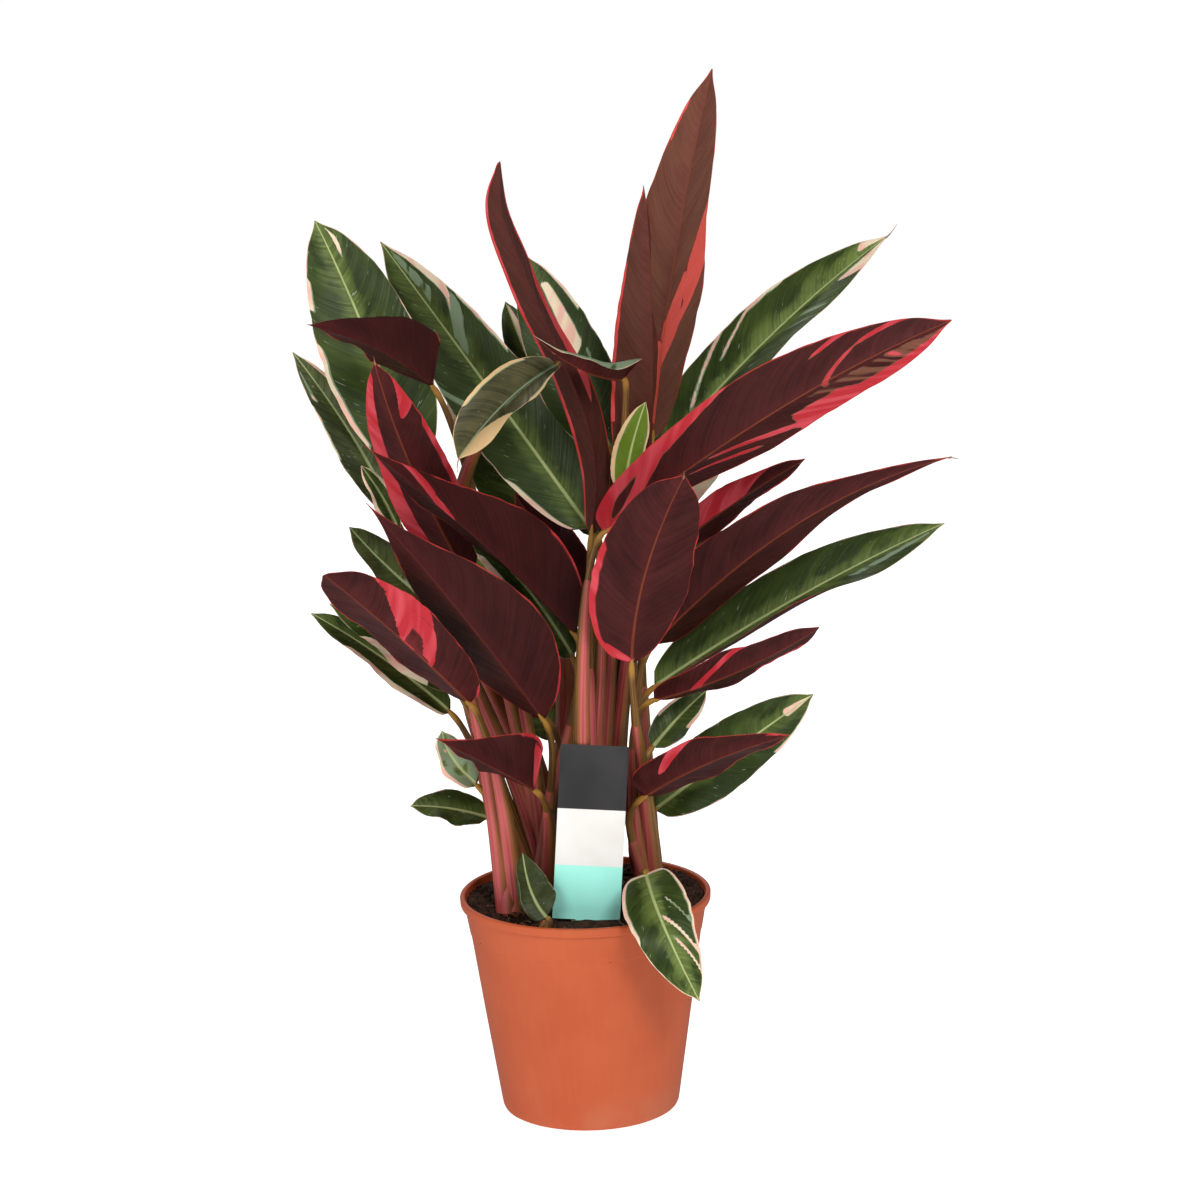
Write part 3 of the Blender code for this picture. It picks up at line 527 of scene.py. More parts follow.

# What sets single leaves apart: warm, painted light glowing through a backlit underside; young and olive
# tints; deep, a darkening that is partly the leaf's own deeper colour and partly painted shade, lightening
# below 0; how jagged their patches are, plainJoint for a stalk without a golden joint, and how far a margin
# rolls in, in degrees, from a share of the half width (rollFrom) and around a place up the blade (rollAt)
# for some reach
traits = {
    "leaf_01": {"warm": 0.80, "deep": 0.5, "jagged": 0.8}, "leaf_02": {"warm": 0.45, "deep": 0.7},
    "leaf_03": {"warm": 0.25, "deep": 1.0}, "leaf_04": {"deep": 0.6, "jagged": 0.3},
    "leaf_05": {"deep": 0.8}, "leaf_07": {"deep": 0.35, "jagged": 0.6},
    "leaf_08": {"deep": 0.9, "rollMinus": 150, "rollFrom": 0.90, "rollAt": 0.55, "rollReach": 0.5},
    "leaf_09": {"olive": 0.30, "deep": 0.6, "jagged": 0.8}, "leaf_10": {"deep": 0.9},
    "leaf_11": {"jagged": 0.4}, "leaf_12": {"olive": 0.95, "jagged": 0.3, "plainJoint": True},
    "leaf_13": {"deep": 1.0, "jagged": 0.4}, "leaf_14": {"deep": 0.8}, "leaf_15": {"jagged": 0.36},
    "leaf_16": {"deep": 0.8, "jagged": 0.9}, "leaf_17": {"deep": 0.8},
    "leaf_18": {"deep": 0.9, "olive": 0.4}, "leaf_19": {"deep": 0.9}, "leaf_20": {"deep": 0.4},
    "leaf_22": {"deep": 0.7}, "leaf_23": {"young": 0.85},
    "leaf_24": {"rollPlus": -160, "rollMinus": -85, "rollFrom": 0.58, "rollAt": 0.55, "rollReach": 0.5},
    "leaf_25": {"jagged": 0.6, "deep": -0.25}, "leaf_26": {"olive": 1.0, "jagged": 0.62},
    "leaf_27": {"jagged": 0.5}, "leaf_28": {"jagged": 0.7},
    "leaf_30": {"deep": 0.3, "rollPlus": 75, "rollFrom": 0.05, "rollAt": 0.28, "rollReach": 0.42},
    "leaf_32": {"deep": 0.8}, "leaf_33": {"deep": 0.4}, "leaf_34": {"jagged": 0.5},
    "leaf_35": {"jagged": 0.3, "deep": -0.15},
    "leaf_38": {"olive": 0.25, "deep": 1.3, "rollMinus": 170, "rollFrom": 0.60},
}
bladeShape = {"rowSpacing": 1.75, "columns": 26, "columnCrowding": 1.15, "heelCrowding": 1.2,
              "veinReach": 0.5, "veinCurve": 1.4, "veinRise": 0.6, "patchEdgeAlong": 0.022,
              "patchEdgeAcross": 0.22, "heelGap": 0.7, "heelHalf": 2.2, "tipHalf": 0.7, "twistCentre": 0.4,
              "channel": 0.25, "marginFrom": 0.999, "weld": 0.02, "seed": 17}


def unitVectors(vectors):
    return vectors / np.linalg.norm(vectors, axis=-1, keepdims=True)


def midribPlace(form, u):
    heel, via, tip = (np.array(form[key], float) * mm for key in ("heel", "via", "tip"))
    guide = 2 * via - (heel + tip) / 2
    sway = np.array((form["sway"], 0, 0)) * mm
    u = np.asarray(u, float)[..., None]
    aside, at, reach = form["bulge"]
    bulge = np.array((aside, 0, 0)) * mm * np.exp(-((u - at) / reach) ** 2)
    place = (1 - u) ** 2 * heel + 2 * u * (1 - u) * guide + u * u * tip
    place = place + sway * np.sin(math.tau * u) + bulge
    along = 2 * (1 - u) * (guide - heel) + 2 * u * (tip - guide) + sway * math.tau * np.cos(math.tau * u)
    return place, unitVectors(along)


def bladeDirections(form, u):
    place, along = midribPlace(form, u)
    front = np.array((0.0, -1.0, 0.0))
    facing = unitVectors(front - (along @ front)[..., None] * along)
    right = np.cross(along, facing)
    twist = form["twist"] * (np.asarray(u) - bladeShape["twistCentre"])
    angle = np.radians(form["turn"] + twist)[..., None]
    normal = facing * np.cos(angle) + right * np.sin(angle)
    side = right * np.cos(angle) - facing * np.sin(angle)
    return place, side, normal


def softBetween(value, low, high, edge):
    return np.clip((value - low) / edge + 0.5, 0, 1) * np.clip((high - value) / edge + 0.5, 0, 1)


def paleField(name, veins, sides):
    field = np.zeros_like(veins)
    for firstSide, firstLow, firstHigh, lastSide, lastLow, lastHigh, *strength in patches.get(name, []):
        strength = strength[0] if strength else 1.0
        share = np.clip((sides - firstSide) / (lastSide - firstSide), 0, 1)
        low = firstLow + (lastLow - firstLow) * share
        high = firstHigh + (lastHigh - firstHigh) * share
        shown = softBetween(veins, low, high, bladeShape["patchEdgeAlong"])
        shown = shown * softBetween(sides, firstSide, lastSide, bladeShape["patchEdgeAcross"])
        if strength > 0:
            field = np.maximum(field, strength * shown)
        else:
            field = np.minimum(field, 1 + strength * shown)
    return field


def bladeGrid(name, form, seed):
    shape = bladeShape
    heel, via, tip = (np.array(form[key], float) for key in ("heel", "via", "tip"))
    length = np.linalg.norm(via - heel) + np.linalg.norm(tip - via)
    rows, columns = 2 * int(length / shape["rowSpacing"] / 2), shape["columns"]
    spread = np.linspace(-1, 1, columns + 1)
    spread = np.sign(spread) * np.abs(spread) ** shape["columnCrowding"]
    veins, sides = np.meshgrid(np.linspace(0, 1, rows + 1) ** shape["heelCrowding"], spread, indexing="ij")
    sweep = shape["veinReach"] * np.abs(sides) ** shape["veinCurve"]
    along = veins + sweep * veins ** shape["veinRise"] * (1 - veins)
    place, side, normal = bladeDirections(form, along)
    wide = columns + 1
    faces = [(r * wide + c, r * wide + c + 1, (r + 1) * wide + c + 1, (r + 1) * wide + c)
             for r in range(rows) for c in range(columns)]
    mesh = bpy.data.meshes.new(name)
    mesh.from_pydata(place.reshape(-1, 3).tolist(), [], faces)
    trait = traits.get(name, {})
    # warm in the tint is painted light glowing through a backlit underside; young and olive are own tints
    tint = [trait.get(key, 0.0) for key in ("warm", "young", "olive")]
    # deep, the first share of mood, is a darkening that is partly the leaf's own colour and partly painted
    # shade
    mood = [trait.get("deep", 0.0), trait.get("jagged", 0.45), seed * 3.1]
    veinPlace = np.stack((veins * length, sides + 5 * np.sign(sides), np.full_like(veins, seed * 7.3)), -1)
    putAttribute(mesh, "spine", place + midribPlace(form, 0.0)[1] * shape["heelGap"] * mm)
    putAttribute(mesh, "side", side)
    putAttribute(mesh, "up", normal)
    putAttribute(mesh, "blade", np.stack((along, sides, veins), -1))
    putAttribute(mesh, "veinPlace", veinPlace)
    putAttribute(mesh, "pale", paleField(name, veins, sides), "FLOAT")
    putAttribute(mesh, "tint", np.tile(tint, (veins.size, 1)))
    putAttribute(mesh, "mood", np.tile(mood, (veins.size, 1)))
    return mesh


def bladeTree():
    tree, given = newShapeTree("blade from its midrib", {
        "Width": 0.05, "Rise": 0.5, "Fall": 0.8, "Fold": 0.25,
        "Heel half width": bladeShape["heelHalf"] * mm, "Tip half width": bladeShape["tipHalf"] * mm,
        "Wave height": 0.0020, "Waves": 2.0, "Wave lead": 1.3, "Ripple height": 0.0030, "Ripples": 7.0,
        "Phase": 0.0, "Raggedness": 0.11, "Arch": 0.16, "Point reach": 0.05,
        "Plus roll": 0.0, "Minus roll": 0.0, "Roll from": 0.86, "Roll at": 0.5, "Roll reach": 0.5,
        "Vein depth": 0.0006, "Thickness": 0.0006, "Rib height": 0.0011, "Rib half width": 0.0011,
        "Upper finish": None, "Lower finish": None})
    along, sides, veins = namedField(tree, "blade").parts()
    spine, side, up = (namedField(tree, name) for name in ("spine", "side", "up"))
    rise, fall, fold = given["Rise"], given["Fall"], given["Fold"]
    ahead = maths(tree, "SUBTRACT", 1.0, along)
    out = sides.maths("ABSOLUTE")
    isPlus = sides.maths("GREATER_THAN", 0.0)
    calm = (along * math.pi).maths("SINE")      # waves die away at both ends
    # the half width, with its greatest place from rise and fall and a drawn-out point
    peak = rise / (rise + fall)
    share = along ** rise * ahead ** fall / (peak ** rise * (1.0 - peak) ** fall)
    ends = given["Heel half width"] * ahead + given["Tip half width"] * along
    half = ends + (given["Width"] * 0.5 - ends) * share
    point = ((ahead / given["Point reach"]) ** 2.0 * -1.0).maths("EXPONENT")
    half = half * (point * -0.5 + 1.0)

    def edgeNoise(turns, offset):
        # uneven along the blade and different on its two sides, about 0
        flow = along * turns + (isPlus * 7.7 + (given["Phase"] + offset))
        return combined(tree, flow).noise(1.0, 1.0) - 0.5

    ragged = edgeNoise(given["Ripples"] * 1.7, 20.0) * given["Raggedness"] * calm
    half = half * (ragged * out ** 2.0 + 1.0)
    wave = (along * math.tau * given["Waves"] + isPlus * given["Wave lead"]).maths("SINE")
    wave = wave * given["Wave height"] * (calm * out ** 2.0)
    ripple = edgeNoise(given["Ripples"], 0.0) * given["Ripple height"] * (calm * out ** 3.0)
    stretch = namedField(tree, "veinPlace").vectorMaths("MULTIPLY", (0.16, 0.5, 1))
    furrow = (stretch.noise(1.0, 1.0) - 0.5) * given["Vein depth"] * (out ** 0.5 * (1.0 - out ** 6.0))
    # the margin rolls along an arc past a share of the half width
    away = ((along - given["Roll at"]) / given["Roll reach"]).maths("ABSOLUTE")
    roll = isPlus * given["Plus roll"] + (1.0 - isPlus) * given["Minus roll"]
    roll = roll * (away ** 3.0 * -1.0).maths("EXPONENT")
    roll = roll + maths(tree, "GREATER_THAN", 0.001, roll.maths("ABSOLUTE")) * 0.002
    band = half * (1.0 - given["Roll from"])
    past = (half * out - half * given["Roll from"]).maths("MAXIMUM", 0.0)
    angle = roll * (past / band)
    flat = half * out.maths("MINIMUM", given["Roll from"]) + angle.maths("SINE") / roll * band
    arch = half * given["Arch"] * (out * (1.0 - out))
    high = (1.0 - angle.maths("COSINE")) / roll * band + arch + (wave + (ripple + furrow))
    lift = flat * fold.maths("SINE") + high * fold.maths("COSINE")
    reach = (flat * fold.maths("COSINE") - high * fold.maths("SINE")) * sides.maths("SIGN")
    middle = spine.vectorMaths("ADD", side.scaled(reach)).vectorMaths("ADD", up.scaled(lift))
    sheet = given["Geometry"].through("SetPosition", {"Position": middle})
    edgePlace = combined(tree, half * out * 1000.0, half * (1.0 - out) * 1000.0, along)
    sheet = sheet.stored("edgePlace", edgePlace)
    # thickness runs out to nothing at the margin and at both ends
    ended = (veins * (1.0 - veins) * 30.0).maths("MINIMUM", 1.0)
    rib = ((half * out / given["Rib half width"]) ** 2.0 * -1.0).maths("EXPONENT")
    rib = rib * (1.0 - along * 0.8) * ended
    thick = given["Thickness"] * 0.5 * ((1.0 - out ** 6.0) * ended)
    raised = thick + rib * (-bladeShape["channel"] * mm)
    sunk = (thick + rib * given["Rib height"]) * -1.0
    upper, lower = (sheet.through("SetPosition", {"Offset": up.scaled(offset)}) for offset in (raised, sunk))
    upper = upper.stored("isUpper", True, "BOOLEAN", "FACE")
    lower = lower.stored("isUpper", False, "BOOLEAN", "FACE").through("FlipFaces")
    joined = addNode(tree, "GeometryNodeJoinGeometry")
    for face in (lower, upper):
        tree.links.new(face.socket, joined.inputs[0])
    closed = Field(tree, joined.outputs[0]).through("MergeByDistance", {"Distance": bladeShape["weld"] * mm})
    smooth = closed.through("SetShadeSmooth", {"Shade Smooth": True}, domain="FACE")
    margin = {"Selection": out.maths("GREATER_THAN", bladeShape["marginFrom"]), "Shade Smooth": False}
    whole = smooth.through("SetShadeSmooth", margin, domain="EDGE").through("RealizeInstances")
    under = whole.through("SetMaterial", {"Material": given["Lower finish"]})
    over = {"Selection": namedField(tree, "isUpper", "BOOLEAN"), "Material": given["Upper finish"]}
    return finishShapeTree(tree, under.through("SetMaterial", over))


def growLeaves():
    tree = bladeTree()
    turns = random.Random(bladeShape["seed"])
    for index, (name, form) in enumerate(leaves.items()):
        rise, fall = form["outline"]
        trait = traits.get(name, {})
        values = {"Width": form["width"] * mm, "Rise": rise, "Fall": fall,
                  "Fold": math.radians(form["fold"]), "Phase": turns.uniform(0, 50),
                  "Ripples": turns.uniform(5, 9), "Ripple height": turns.uniform(2.0, 4.5) * mm,
                  "Plus roll": math.radians(trait.get("rollPlus", 0)),
                  "Minus roll": math.radians(trait.get("rollMinus", 0)),
                  "Roll from": trait.get("rollFrom", 0.86), "Roll at": trait.get("rollAt", 0.5),
                  "Roll reach": trait.get("rollReach", 0.5),
                  "Upper finish": upperFace, "Lower finish": lowerFace}
        blade = makePiece(name.replace("leaf", "blade"), bladeGrid(name, form, index))
        growWith(blade, tree, values)
        shownUnder = abs((form["turn"] + 180) % 360 - 180) > 90
        keepPiece(blade, "leaf_burgundy_face" if shownUnder else "leaf_green_face", name)


growLeaves()
print("leaves grown")


# Tubes along lines: stalks, threads and fibres

def tubeTree():
    tree, given = newShapeTree("tubes along lines", {"Sides": 16, "Finish": None})
    thick = namedField(tree, "thick", "FLOAT")
    lines = given["Geometry"].through("MeshToCurve").through("SetCurveRadius", {"Radius": thick})
    ring = newField(tree, "GeometryNodeCurvePrimitiveCircle", {"Resolution": given["Sides"], "Radius": 1.0})
    ring = ring.stored("around", newField(tree, "GeometryNodeInputPosition"))
    swept = addNode(tree, "GeometryNodeCurveToMesh", {0: lines, "Profile Curve": ring, "Fill Caps": True})
    if "Scale" in swept.inputs:
        tree.links.new(thick.socket, swept.inputs["Scale"])
    facing = Field(tree, swept.outputs[0]).stored("facing", newField(tree, "GeometryNodeInputNormal"))
    whole = facing.through("SetShadeSmooth", {"Shade Smooth": True}).through("RealizeInstances")
    return finishShapeTree(tree, whole.through("SetMaterial", {"Material": given["Finish"]}))


tubes = tubeTree()


def growTubes(name, lines, finish, sides=16):
    # a line holds its points and radii, in metres, and a stalk's line also its places
    points, edges, thick, places = [], [], [], []
    for line, radii, *place in lines:
        edges += [(len(points) + i, len(points) + i + 1) for i in range(len(line) - 1)]
        points += [tuple(point) for point in line]
        thick += list(radii)
        places += place[0] if place else []
    mesh = bpy.data.meshes.new(name)
    mesh.from_pydata(points, edges, [])
    putAttribute(mesh, "thick", thick, "FLOAT")
    if places:
        putAttribute(mesh, "stalkPlace", places)
    return growWith(makePiece(name, mesh), tubes, {"Finish": finish, "Sides": sides})


# Stalks: each is an olive petiole out of a rosy sheath, with a swollen joint below its blade

shoots = {      # foot, its radius in mm, and how rosy the sheath is: on its left, or below 0 on its right
    "shoot_left": ((-50, -18), 8, 1.0), "shoot_mid_left": ((-28, 22), 8.5, 0.9),
    "shoot_centre": ((3, -4), 7, -0.95), "shoot_spear": ((14, 34), 7.5, 0.9),
    "shoot_right": ((44, 6), 8, 0.85), "shoot_right_back": ((43, 46), 7, 0.8),
    "shoot_back_left": ((-16, 60), 7, 0.8), "sucker_front": ((-27, -56), 4, 0.6),
    "sucker_right": ((36, -22), 4, 0.6),
}
stalkShape = {"points": 44, "crowding": 1.25, "baseRadius": 4.2, "topRadius": 1.7, "start": 1.5,
              "spread": 0.46, "sheathFrom": 0.48, "sheathTo": 0.74, "sheathOut": 2.6, "sheathClose": 0.5,
              "jointLength": 14, "jointSwell": 0.16, "suckerFoot": 0.45, "seed": 5}
# A shoot's foot, from in the soil to inside its stalks: heights in mm, and radii as shares of its own
footHeights = np.array((-16, -2, 3, 8, 13, 20))
footRadii = np.array((0.96, 1.0, 0.98, 0.92, 0.80, 0.50))
soilShape = {"level": 140, "crown": 2.5, "crownRadius": 81.1, "edge": 78.5, "floor": 2.3}
stalkColours = {"rose": (0.37, 0.054, 0.052), "roseLight": (0.50, 0.104, 0.096),
                "line": (0.20, 0.020, 0.022), "olive": (0.24, 0.125, 0.024),
                "oliveDark": (0.110, 0.046, 0.016), "rust": (0.30, 0.095, 0.036),
                "joint": (0.36, 0.175, 0.030), "thread": (0.16, 0.060, 0.030),
                "threadLight": (0.42, 0.24, 0.11)}


def soilHeight(x, y):
    # of the smooth dome, in mm
    share = min(1, math.hypot(x, y) / soilShape["crownRadius"])
    return soilShape["level"] + soilShape["crown"] * (1 - share * share)


def stalkFinish():
    colour = stalkColours
    finish, tree = newFinish("stalks", Specular_IOR_Level=0.30)
    along, sheath, seed = attributeOf(tree, "stalkPlace").parts()
    around = attributeOf(tree, "around")
    side = attributeOf(tree, "facing").parts()[0] * sheath.maths("SIGN")
    drift = combined(tree, seed, 0.0, along * 1.6)
    wide = around.vectorMaths("MULTIPLY_ADD", (0.7, 0.7, 0), drift).noise(1.0, 0.0)
    fine = around.vectorMaths("MULTIPLY_ADD", (3.4, 3.4, 0), drift).noise(1.0)
    side = (wide - 0.5) * 1.1 + side
    rose = fine.mapped(0.36, 0.66).mix(colour["rose"], colour["roseLight"])
    rose = fine.mapped(0.37, 0.31, 0.0, 0.70).mix(rose, colour["line"])
    olive = fine.mapped(0.34, 0.66).mix(colour["oliveDark"], colour["olive"])
    rosy = side.mapped(-0.92, -0.78) * side.mapped(0.02, 0.22, 1.0, 0.0)
    sheathed = rosy.mix(side.mapped(0.2, 0.8).mix(colour["rust"], olive), rose)
    stalk = wide.mapped(0.44, 0.62, 0.0, 0.6).mix(olive, colour["oliveDark"])
    stalk = along.mapped(0.86, 0.96).mix(stalk, colour["joint"])
    face = sheath.maths("ABSOLUTE").mix(stalk, sheathed)
    return dressed(finish, face, (fine, 0.35, 0.0004), fine.mapped(0.3, 0.7, 0.34, 0.48))


def threadFinish():
    finish, tree = newFinish("dry leaf ends", Roughness=0.6)
    place = objectPlace(tree)
    face = place.noise(240.0).mapped(0.35, 0.65).mix(stalkColours["thread"], stalkColours["threadLight"])
    return dressed(finish, face, (place.noise(1200.0), 0.3, 0.0002))


def stalkCentre(form, start):
    # centre line in metres, and each point's place along it from 0 to 1
    heel, along = midribPlace(form, 0.0)
    arrive = heel - along * form["lead"] * mm
    rise = start + (arrive - start) * (0.25, 0.25, 0.5)
    if form["bow"]:
        rise = np.array(form["bow"], float) * mm
    t = (1 - (1 - np.linspace(0, 1, stalkShape["points"])) ** stalkShape["crowding"])[:, None]
    line = (1 - t) ** 3 * start + 3 * t * (1 - t) ** 2 * rise + 3 * t * t * (1 - t) * arrive + t ** 3 * heel
    return line, t[:, 0]


def stalkRadii(line, t):
    # taper, and the joint's swelling near the blade
    shape = stalkShape
    thick = (shape["baseRadius"] + (shape["topRadius"] - shape["baseRadius"]) * t) * mm
    steps = np.linalg.norm(np.diff(line, axis=0), axis=1)
    left = np.concatenate((np.cumsum(steps[::-1])[::-1], [0])) / mm
    swell = np.clip(1 - left / shape["jointLength"], 0, 1)
    return thick * (1 + shape["jointSwell"] * np.sin(np.pi * swell ** 1.5))


def shootLines(name, turns):
    # every tube of one shoot: points, radii and places, which are the share along, the sheath and a seed
    shape = stalkShape
    (x, y), radius, rosy = shoots[name]
    ground = soilHeight(x, y)
    carried = {leaf: form for leaf, form in leaves.items() if form["shoot"] == name}
    several = len(carried) > 1
    lines = []

    def addLine(line, radii, t, sheath, seed):
        lines.append((line, radii, [(share, sheath, seed) for share in t]))

    for index, (leaf, form) in enumerate(carried.items()):
        turn = math.tau * index / len(carried)
        spread = shape["spread"] * radius if several else 0
        foot = (x + spread * math.cos(turn), y + spread * math.sin(turn), ground + shape["start"])
        start = np.array(foot) * mm
        line, t = stalkCentre(form, start)
        thick = stalkRadii(line, t)
        seed = turns.uniform(0, 40)
        reach = turns.uniform(shape["sheathFrom"], shape["sheathTo"])
        normal = bladeDirections(form, 0.0)[2]
        keel = [midribPlace(form, u)[0] - normal * 0.8 * mm for u in (0.012, 0.03)]
        shown = t * (0.85 if traits.get(leaf, {}).get("plainJoint") else 1)
        addLine(np.vstack((line, keel)), np.append(thick, (1.3 * mm, 0.5 * mm)),
                np.append(shown, (shown[-1], shown[-1])), 0.0, seed)
        if several:
            inside = t <= reach
            close = np.clip((reach - t[inside]) / shape["sheathClose"], 0, 1)
            wrap = thick[inside] + shape["sheathOut"] * mm * (0.2 + 0.8 * close)
            wrap[-1] = thick[inside][-1] * 1.03
            addLine(line[inside], wrap, t[inside], rosy, seed + 3)
    heights = footHeights * (1 if several else shape["suckerFoot"])
    foot = np.stack((np.full(6, x), np.full(6, y), ground + heights), -1) * mm
    addLine(foot, footRadii * radius * mm, np.linspace(0, 0.1, 6), rosy, 1.0)
    return lines


def growShoots():
    finish = stalkFinish()
    turns = random.Random(stalkShape["seed"])
    for name in shoots:
        piece = growTubes("stalks_" + name.replace("shoot_", ""), shootLines(name, turns), finish)
        keepPiece(piece, "stalk", name)


# Dry threads that some blades end in: the blade, its length in mm and how it bends
threads = {"leaf_12": (9, (3, 0, -4)), "leaf_25": (8, (2, 0, 5)), "leaf_29": (5, (3, 0, -2)),
           "leaf_27": (4, (-1, 0, 2)), "leaf_11": (4, (0, -1, 2))}


def growThreads():
    lines = []
    shares = [step / 8 for step in range(9)]
    for name, (length, bend) in threads.items():
        tip, along = midribPlace(leaves[name], 1.0)
        bend = np.array(bend, float)
        line = [tip + (along * (share * length - 2) + bend * share ** 2.2) * mm for share in shares]
        lines.append((line, [(0.65 - 0.5 * share) * mm for share in shares]))
    keepPiece(growTubes("leaf_threads", lines, threadFinish(), 6), "stalk")


growShoots()
growThreads()
print("stalks grown")


# Soil: a lumpy bed with crumbs and fibres on it

soilDetail = {"rings": 34, "segments": 120, "lump": 1.6, "sunk": 0.4, "labelMound": 2.7, "labelHalf": 20,
              "labelPlace": -50, "crumbs": 1500, "smallest": 0.0007, "largest": 0.0030, "fibres": 150,
              "fibreReach": 76, "fibreSteps": 6, "seed": 11}
# Peat banked up against the wall: its height in mm, and where around the pot and how far it runs, in degrees
soilBanks = ((7.5, 36, 66), (5.5, 168, 40))
soilColours = {"dark": (0.020, 0.0093, 0.0058), "brown": (0.062, 0.0270, 0.0155),
               "light": (0.120, 0.056, 0.030), "fibre": (0.050, 0.026, 0.015),
               "fibreLight": (0.20, 0.115, 0.060)}


def soilFinish():
    colour = soilColours
    finish, tree = newFinish("moist peat", Specular_IOR_Level=0.15)
    place = objectPlace(tree)
    coarse, fine = place.noise(160.0, 4.0, 0.65), place.noise(900.0, 3.0, 0.6)
    face = coarse.mapped(0.35, 0.65).mix(colour["dark"], colour["brown"])
    face = fine.mapped(0.60, 0.74, 0.0, 0.6).mix(face, colour["light"])
    return dressed(finish, face, (coarse + fine, 0.8, 0.0012), fine.mapped(0.3, 0.7, 0.72, 0.98))


def fibreFinish():
    finish, tree = newFinish("peat fibres", Roughness=0.8)
    place = objectPlace(tree)
    face = place.noise(70.0).mapped(0.35, 0.65).mix(soilColours["fibre"], soilColours["fibreLight"])
    return dressed(finish, face, (place.noise(1500.0), 0.3, 0.0003))


def bedPoint(radius, angle):
    # mm; the outermost peat leans out to the wall where it is banked up
    detail = soilDetail
    x, y = radius * math.cos(angle), radius * math.sin(angle)
    height = noise.fractal(Vector((x, y, 3)) * 0.09, 1.0, 2.2, 4) * detail["lump"]
    offLabel = max(0, abs(x) - detail["labelHalf"]) / 8
    height += detail["labelMound"] * math.exp(-offLabel ** 2 - ((y - detail["labelPlace"]) / 9) ** 2)
    bank = 0
    for most, toward, reach in soilBanks:
        aside = (math.degrees(angle) - toward + 180) % 360 - 180
        bank += most * math.exp(-(aside / reach) ** 2 - ((radius - soilShape["edge"]) / 17) ** 2)
    outward = 1 + 0.26 * bank / radius
    return x * outward, y * outward, soilHeight(x, y) + height + bank - detail["sunk"]


def soilBed(finish):
    shape, count = soilShape, soilDetail["segments"]
    angles = [math.tau * step / count for step in range(count)]
    form = bmesh.new()
    middle = form.verts.new((0, 0, (shape["level"] + shape["crown"]) * mm))
    circles = [[bedPoint(shape["edge"] * ring / soilDetail["rings"], angle) for angle in angles]
               for ring in range(1, soilDetail["rings"] + 1)]
    circles += [[(radius * math.cos(angle), radius * math.sin(angle), z) for angle in angles]
                for radius, z in ((76.3, 124), (60.4, 8), (54, shape["floor"]))]
    rings = [[form.verts.new(Vector(point) * mm) for point in circle] for circle in circles]
    for s in range(count):
        form.faces.new((middle, rings[0][s], rings[0][(s + 1) % count]))
        for inner, outer in zip(rings, rings[1:]):
            form.faces.new((inner[s], outer[s], outer[(s + 1) % count], inner[(s + 1) % count]))
    form.faces.new(rings[-1][::-1])
    bmesh.ops.recalc_face_normals(form, faces=form.faces)
    bed = makePiece("soil_bed", meshFromBmesh("soil_bed", form))
    bed.data.materials.append(finish)
    bed.data.shade_smooth()
    return bed


def crumbTree():
    detail = soilDetail
    tree, given = newShapeTree("crumbs on the soil", {
        "Amount": detail["crumbs"], "Smallest": detail["smallest"], "Largest": detail["largest"],
        "Seed": detail["seed"], "Finish": None})
    facingUp = newField(tree, "GeometryNodeInputNormal").parts()[2]
    here = newField(tree, "GeometryNodeInputPosition")
    offLabel = here.vectorMaths("SUBTRACT", (0, detail["labelPlace"] * mm, 0.1405))
    offLabel = offLabel.vectorMaths("MULTIPLY", (0.36, 1, 1)).vectorMaths("LENGTH")
    top = facingUp.maths("GREATER_THAN", 0.4) * offLabel.maths("GREATER_THAN", 0.010)
    density = given["Amount"] / (math.pi * (soilShape["edge"] * mm) ** 2)
    scatter = {"Selection": top, "Density": density, "Seed": given["Seed"]}
    spots = given["Geometry"].through("DistributePointsOnFaces", scatter)
    ball = newField(tree, "GeometryNodeMeshIcoSphere", {"Radius": 1.0, "Subdivisions": 2})
    ball = ball.through("SetPosition", {"Position": here.scaled(here.noise(1.3, 1.0) * 1.3 + 0.1)})
    draw = {"Min": 0.0, "Max": 1.0, "Seed": given["Seed"]}
    chance = newField(tree, "FunctionNodeRandomValue", draw, "Value", data_type="FLOAT")
    size = chance ** 2.5 * (given["Largest"] - given["Smallest"]) + given["Smallest"]
    fullTurns = {"Max": (math.tau, math.tau, math.tau)}
    spin = newField(tree, "FunctionNodeRandomValue", fullTurns, "Value", data_type="FLOAT_VECTOR")
    crumbs = spots.through("InstanceOnPoints", {"Instance": ball, "Rotation": spin, "Scale": size})
    smooth = crumbs.through("RealizeInstances").through("SetShadeSmooth", {"Shade Smooth": True})
    return finishShapeTree(tree, smooth.through("SetMaterial", {"Material": given["Finish"]}))


def fibreLines(turns):
    # short bent fibres lying on the soil, in mm
    lines = []
    steps = soilDetail["fibreSteps"]
    for _ in range(soilDetail["fibres"]):
        radius, angle = soilDetail["fibreReach"] * math.sqrt(turns.random()), turns.uniform(0, math.tau)
        x, y = radius * math.cos(angle), radius * math.sin(angle)
        heading, length = turns.uniform(0, math.tau), turns.uniform(4, 16)
        line = []
        for _ in range(steps):
            heading += turns.uniform(-0.5, 0.5)
            x += math.cos(heading) * length / (steps - 1)
            y += math.sin(heading) * length / (steps - 1)
            if math.hypot(x, y) > soilDetail["fibreReach"] + 2:
                break
            line.append((x, y, soilHeight(x, y) + 0.6 + turns.uniform(0, 1.8)))
        if len(line) > 2:
            lines.append(line)
    return lines


def laySoil():
    peat = soilFinish()
    bed = soilBed(peat)
    crumbs = growWith(makePiece("soil_crumbs", bed.data.copy()), crumbTree(), {"Finish": peat})
    turns = random.Random(soilDetail["seed"])
    lines = [(np.array(line) * mm, [turns.uniform(0.2, 0.55) * mm] * len(line))
             for line in fibreLines(turns)]
    fibres = growTubes("soil_fibres", lines, fibreFinish(), 5)
    keepPiece(bed, "peat", "soil")
    keepPiece(crumbs, "peat")
    keepPiece(fibres, "peat")


laySoil()
print("soil laid")


# Pot

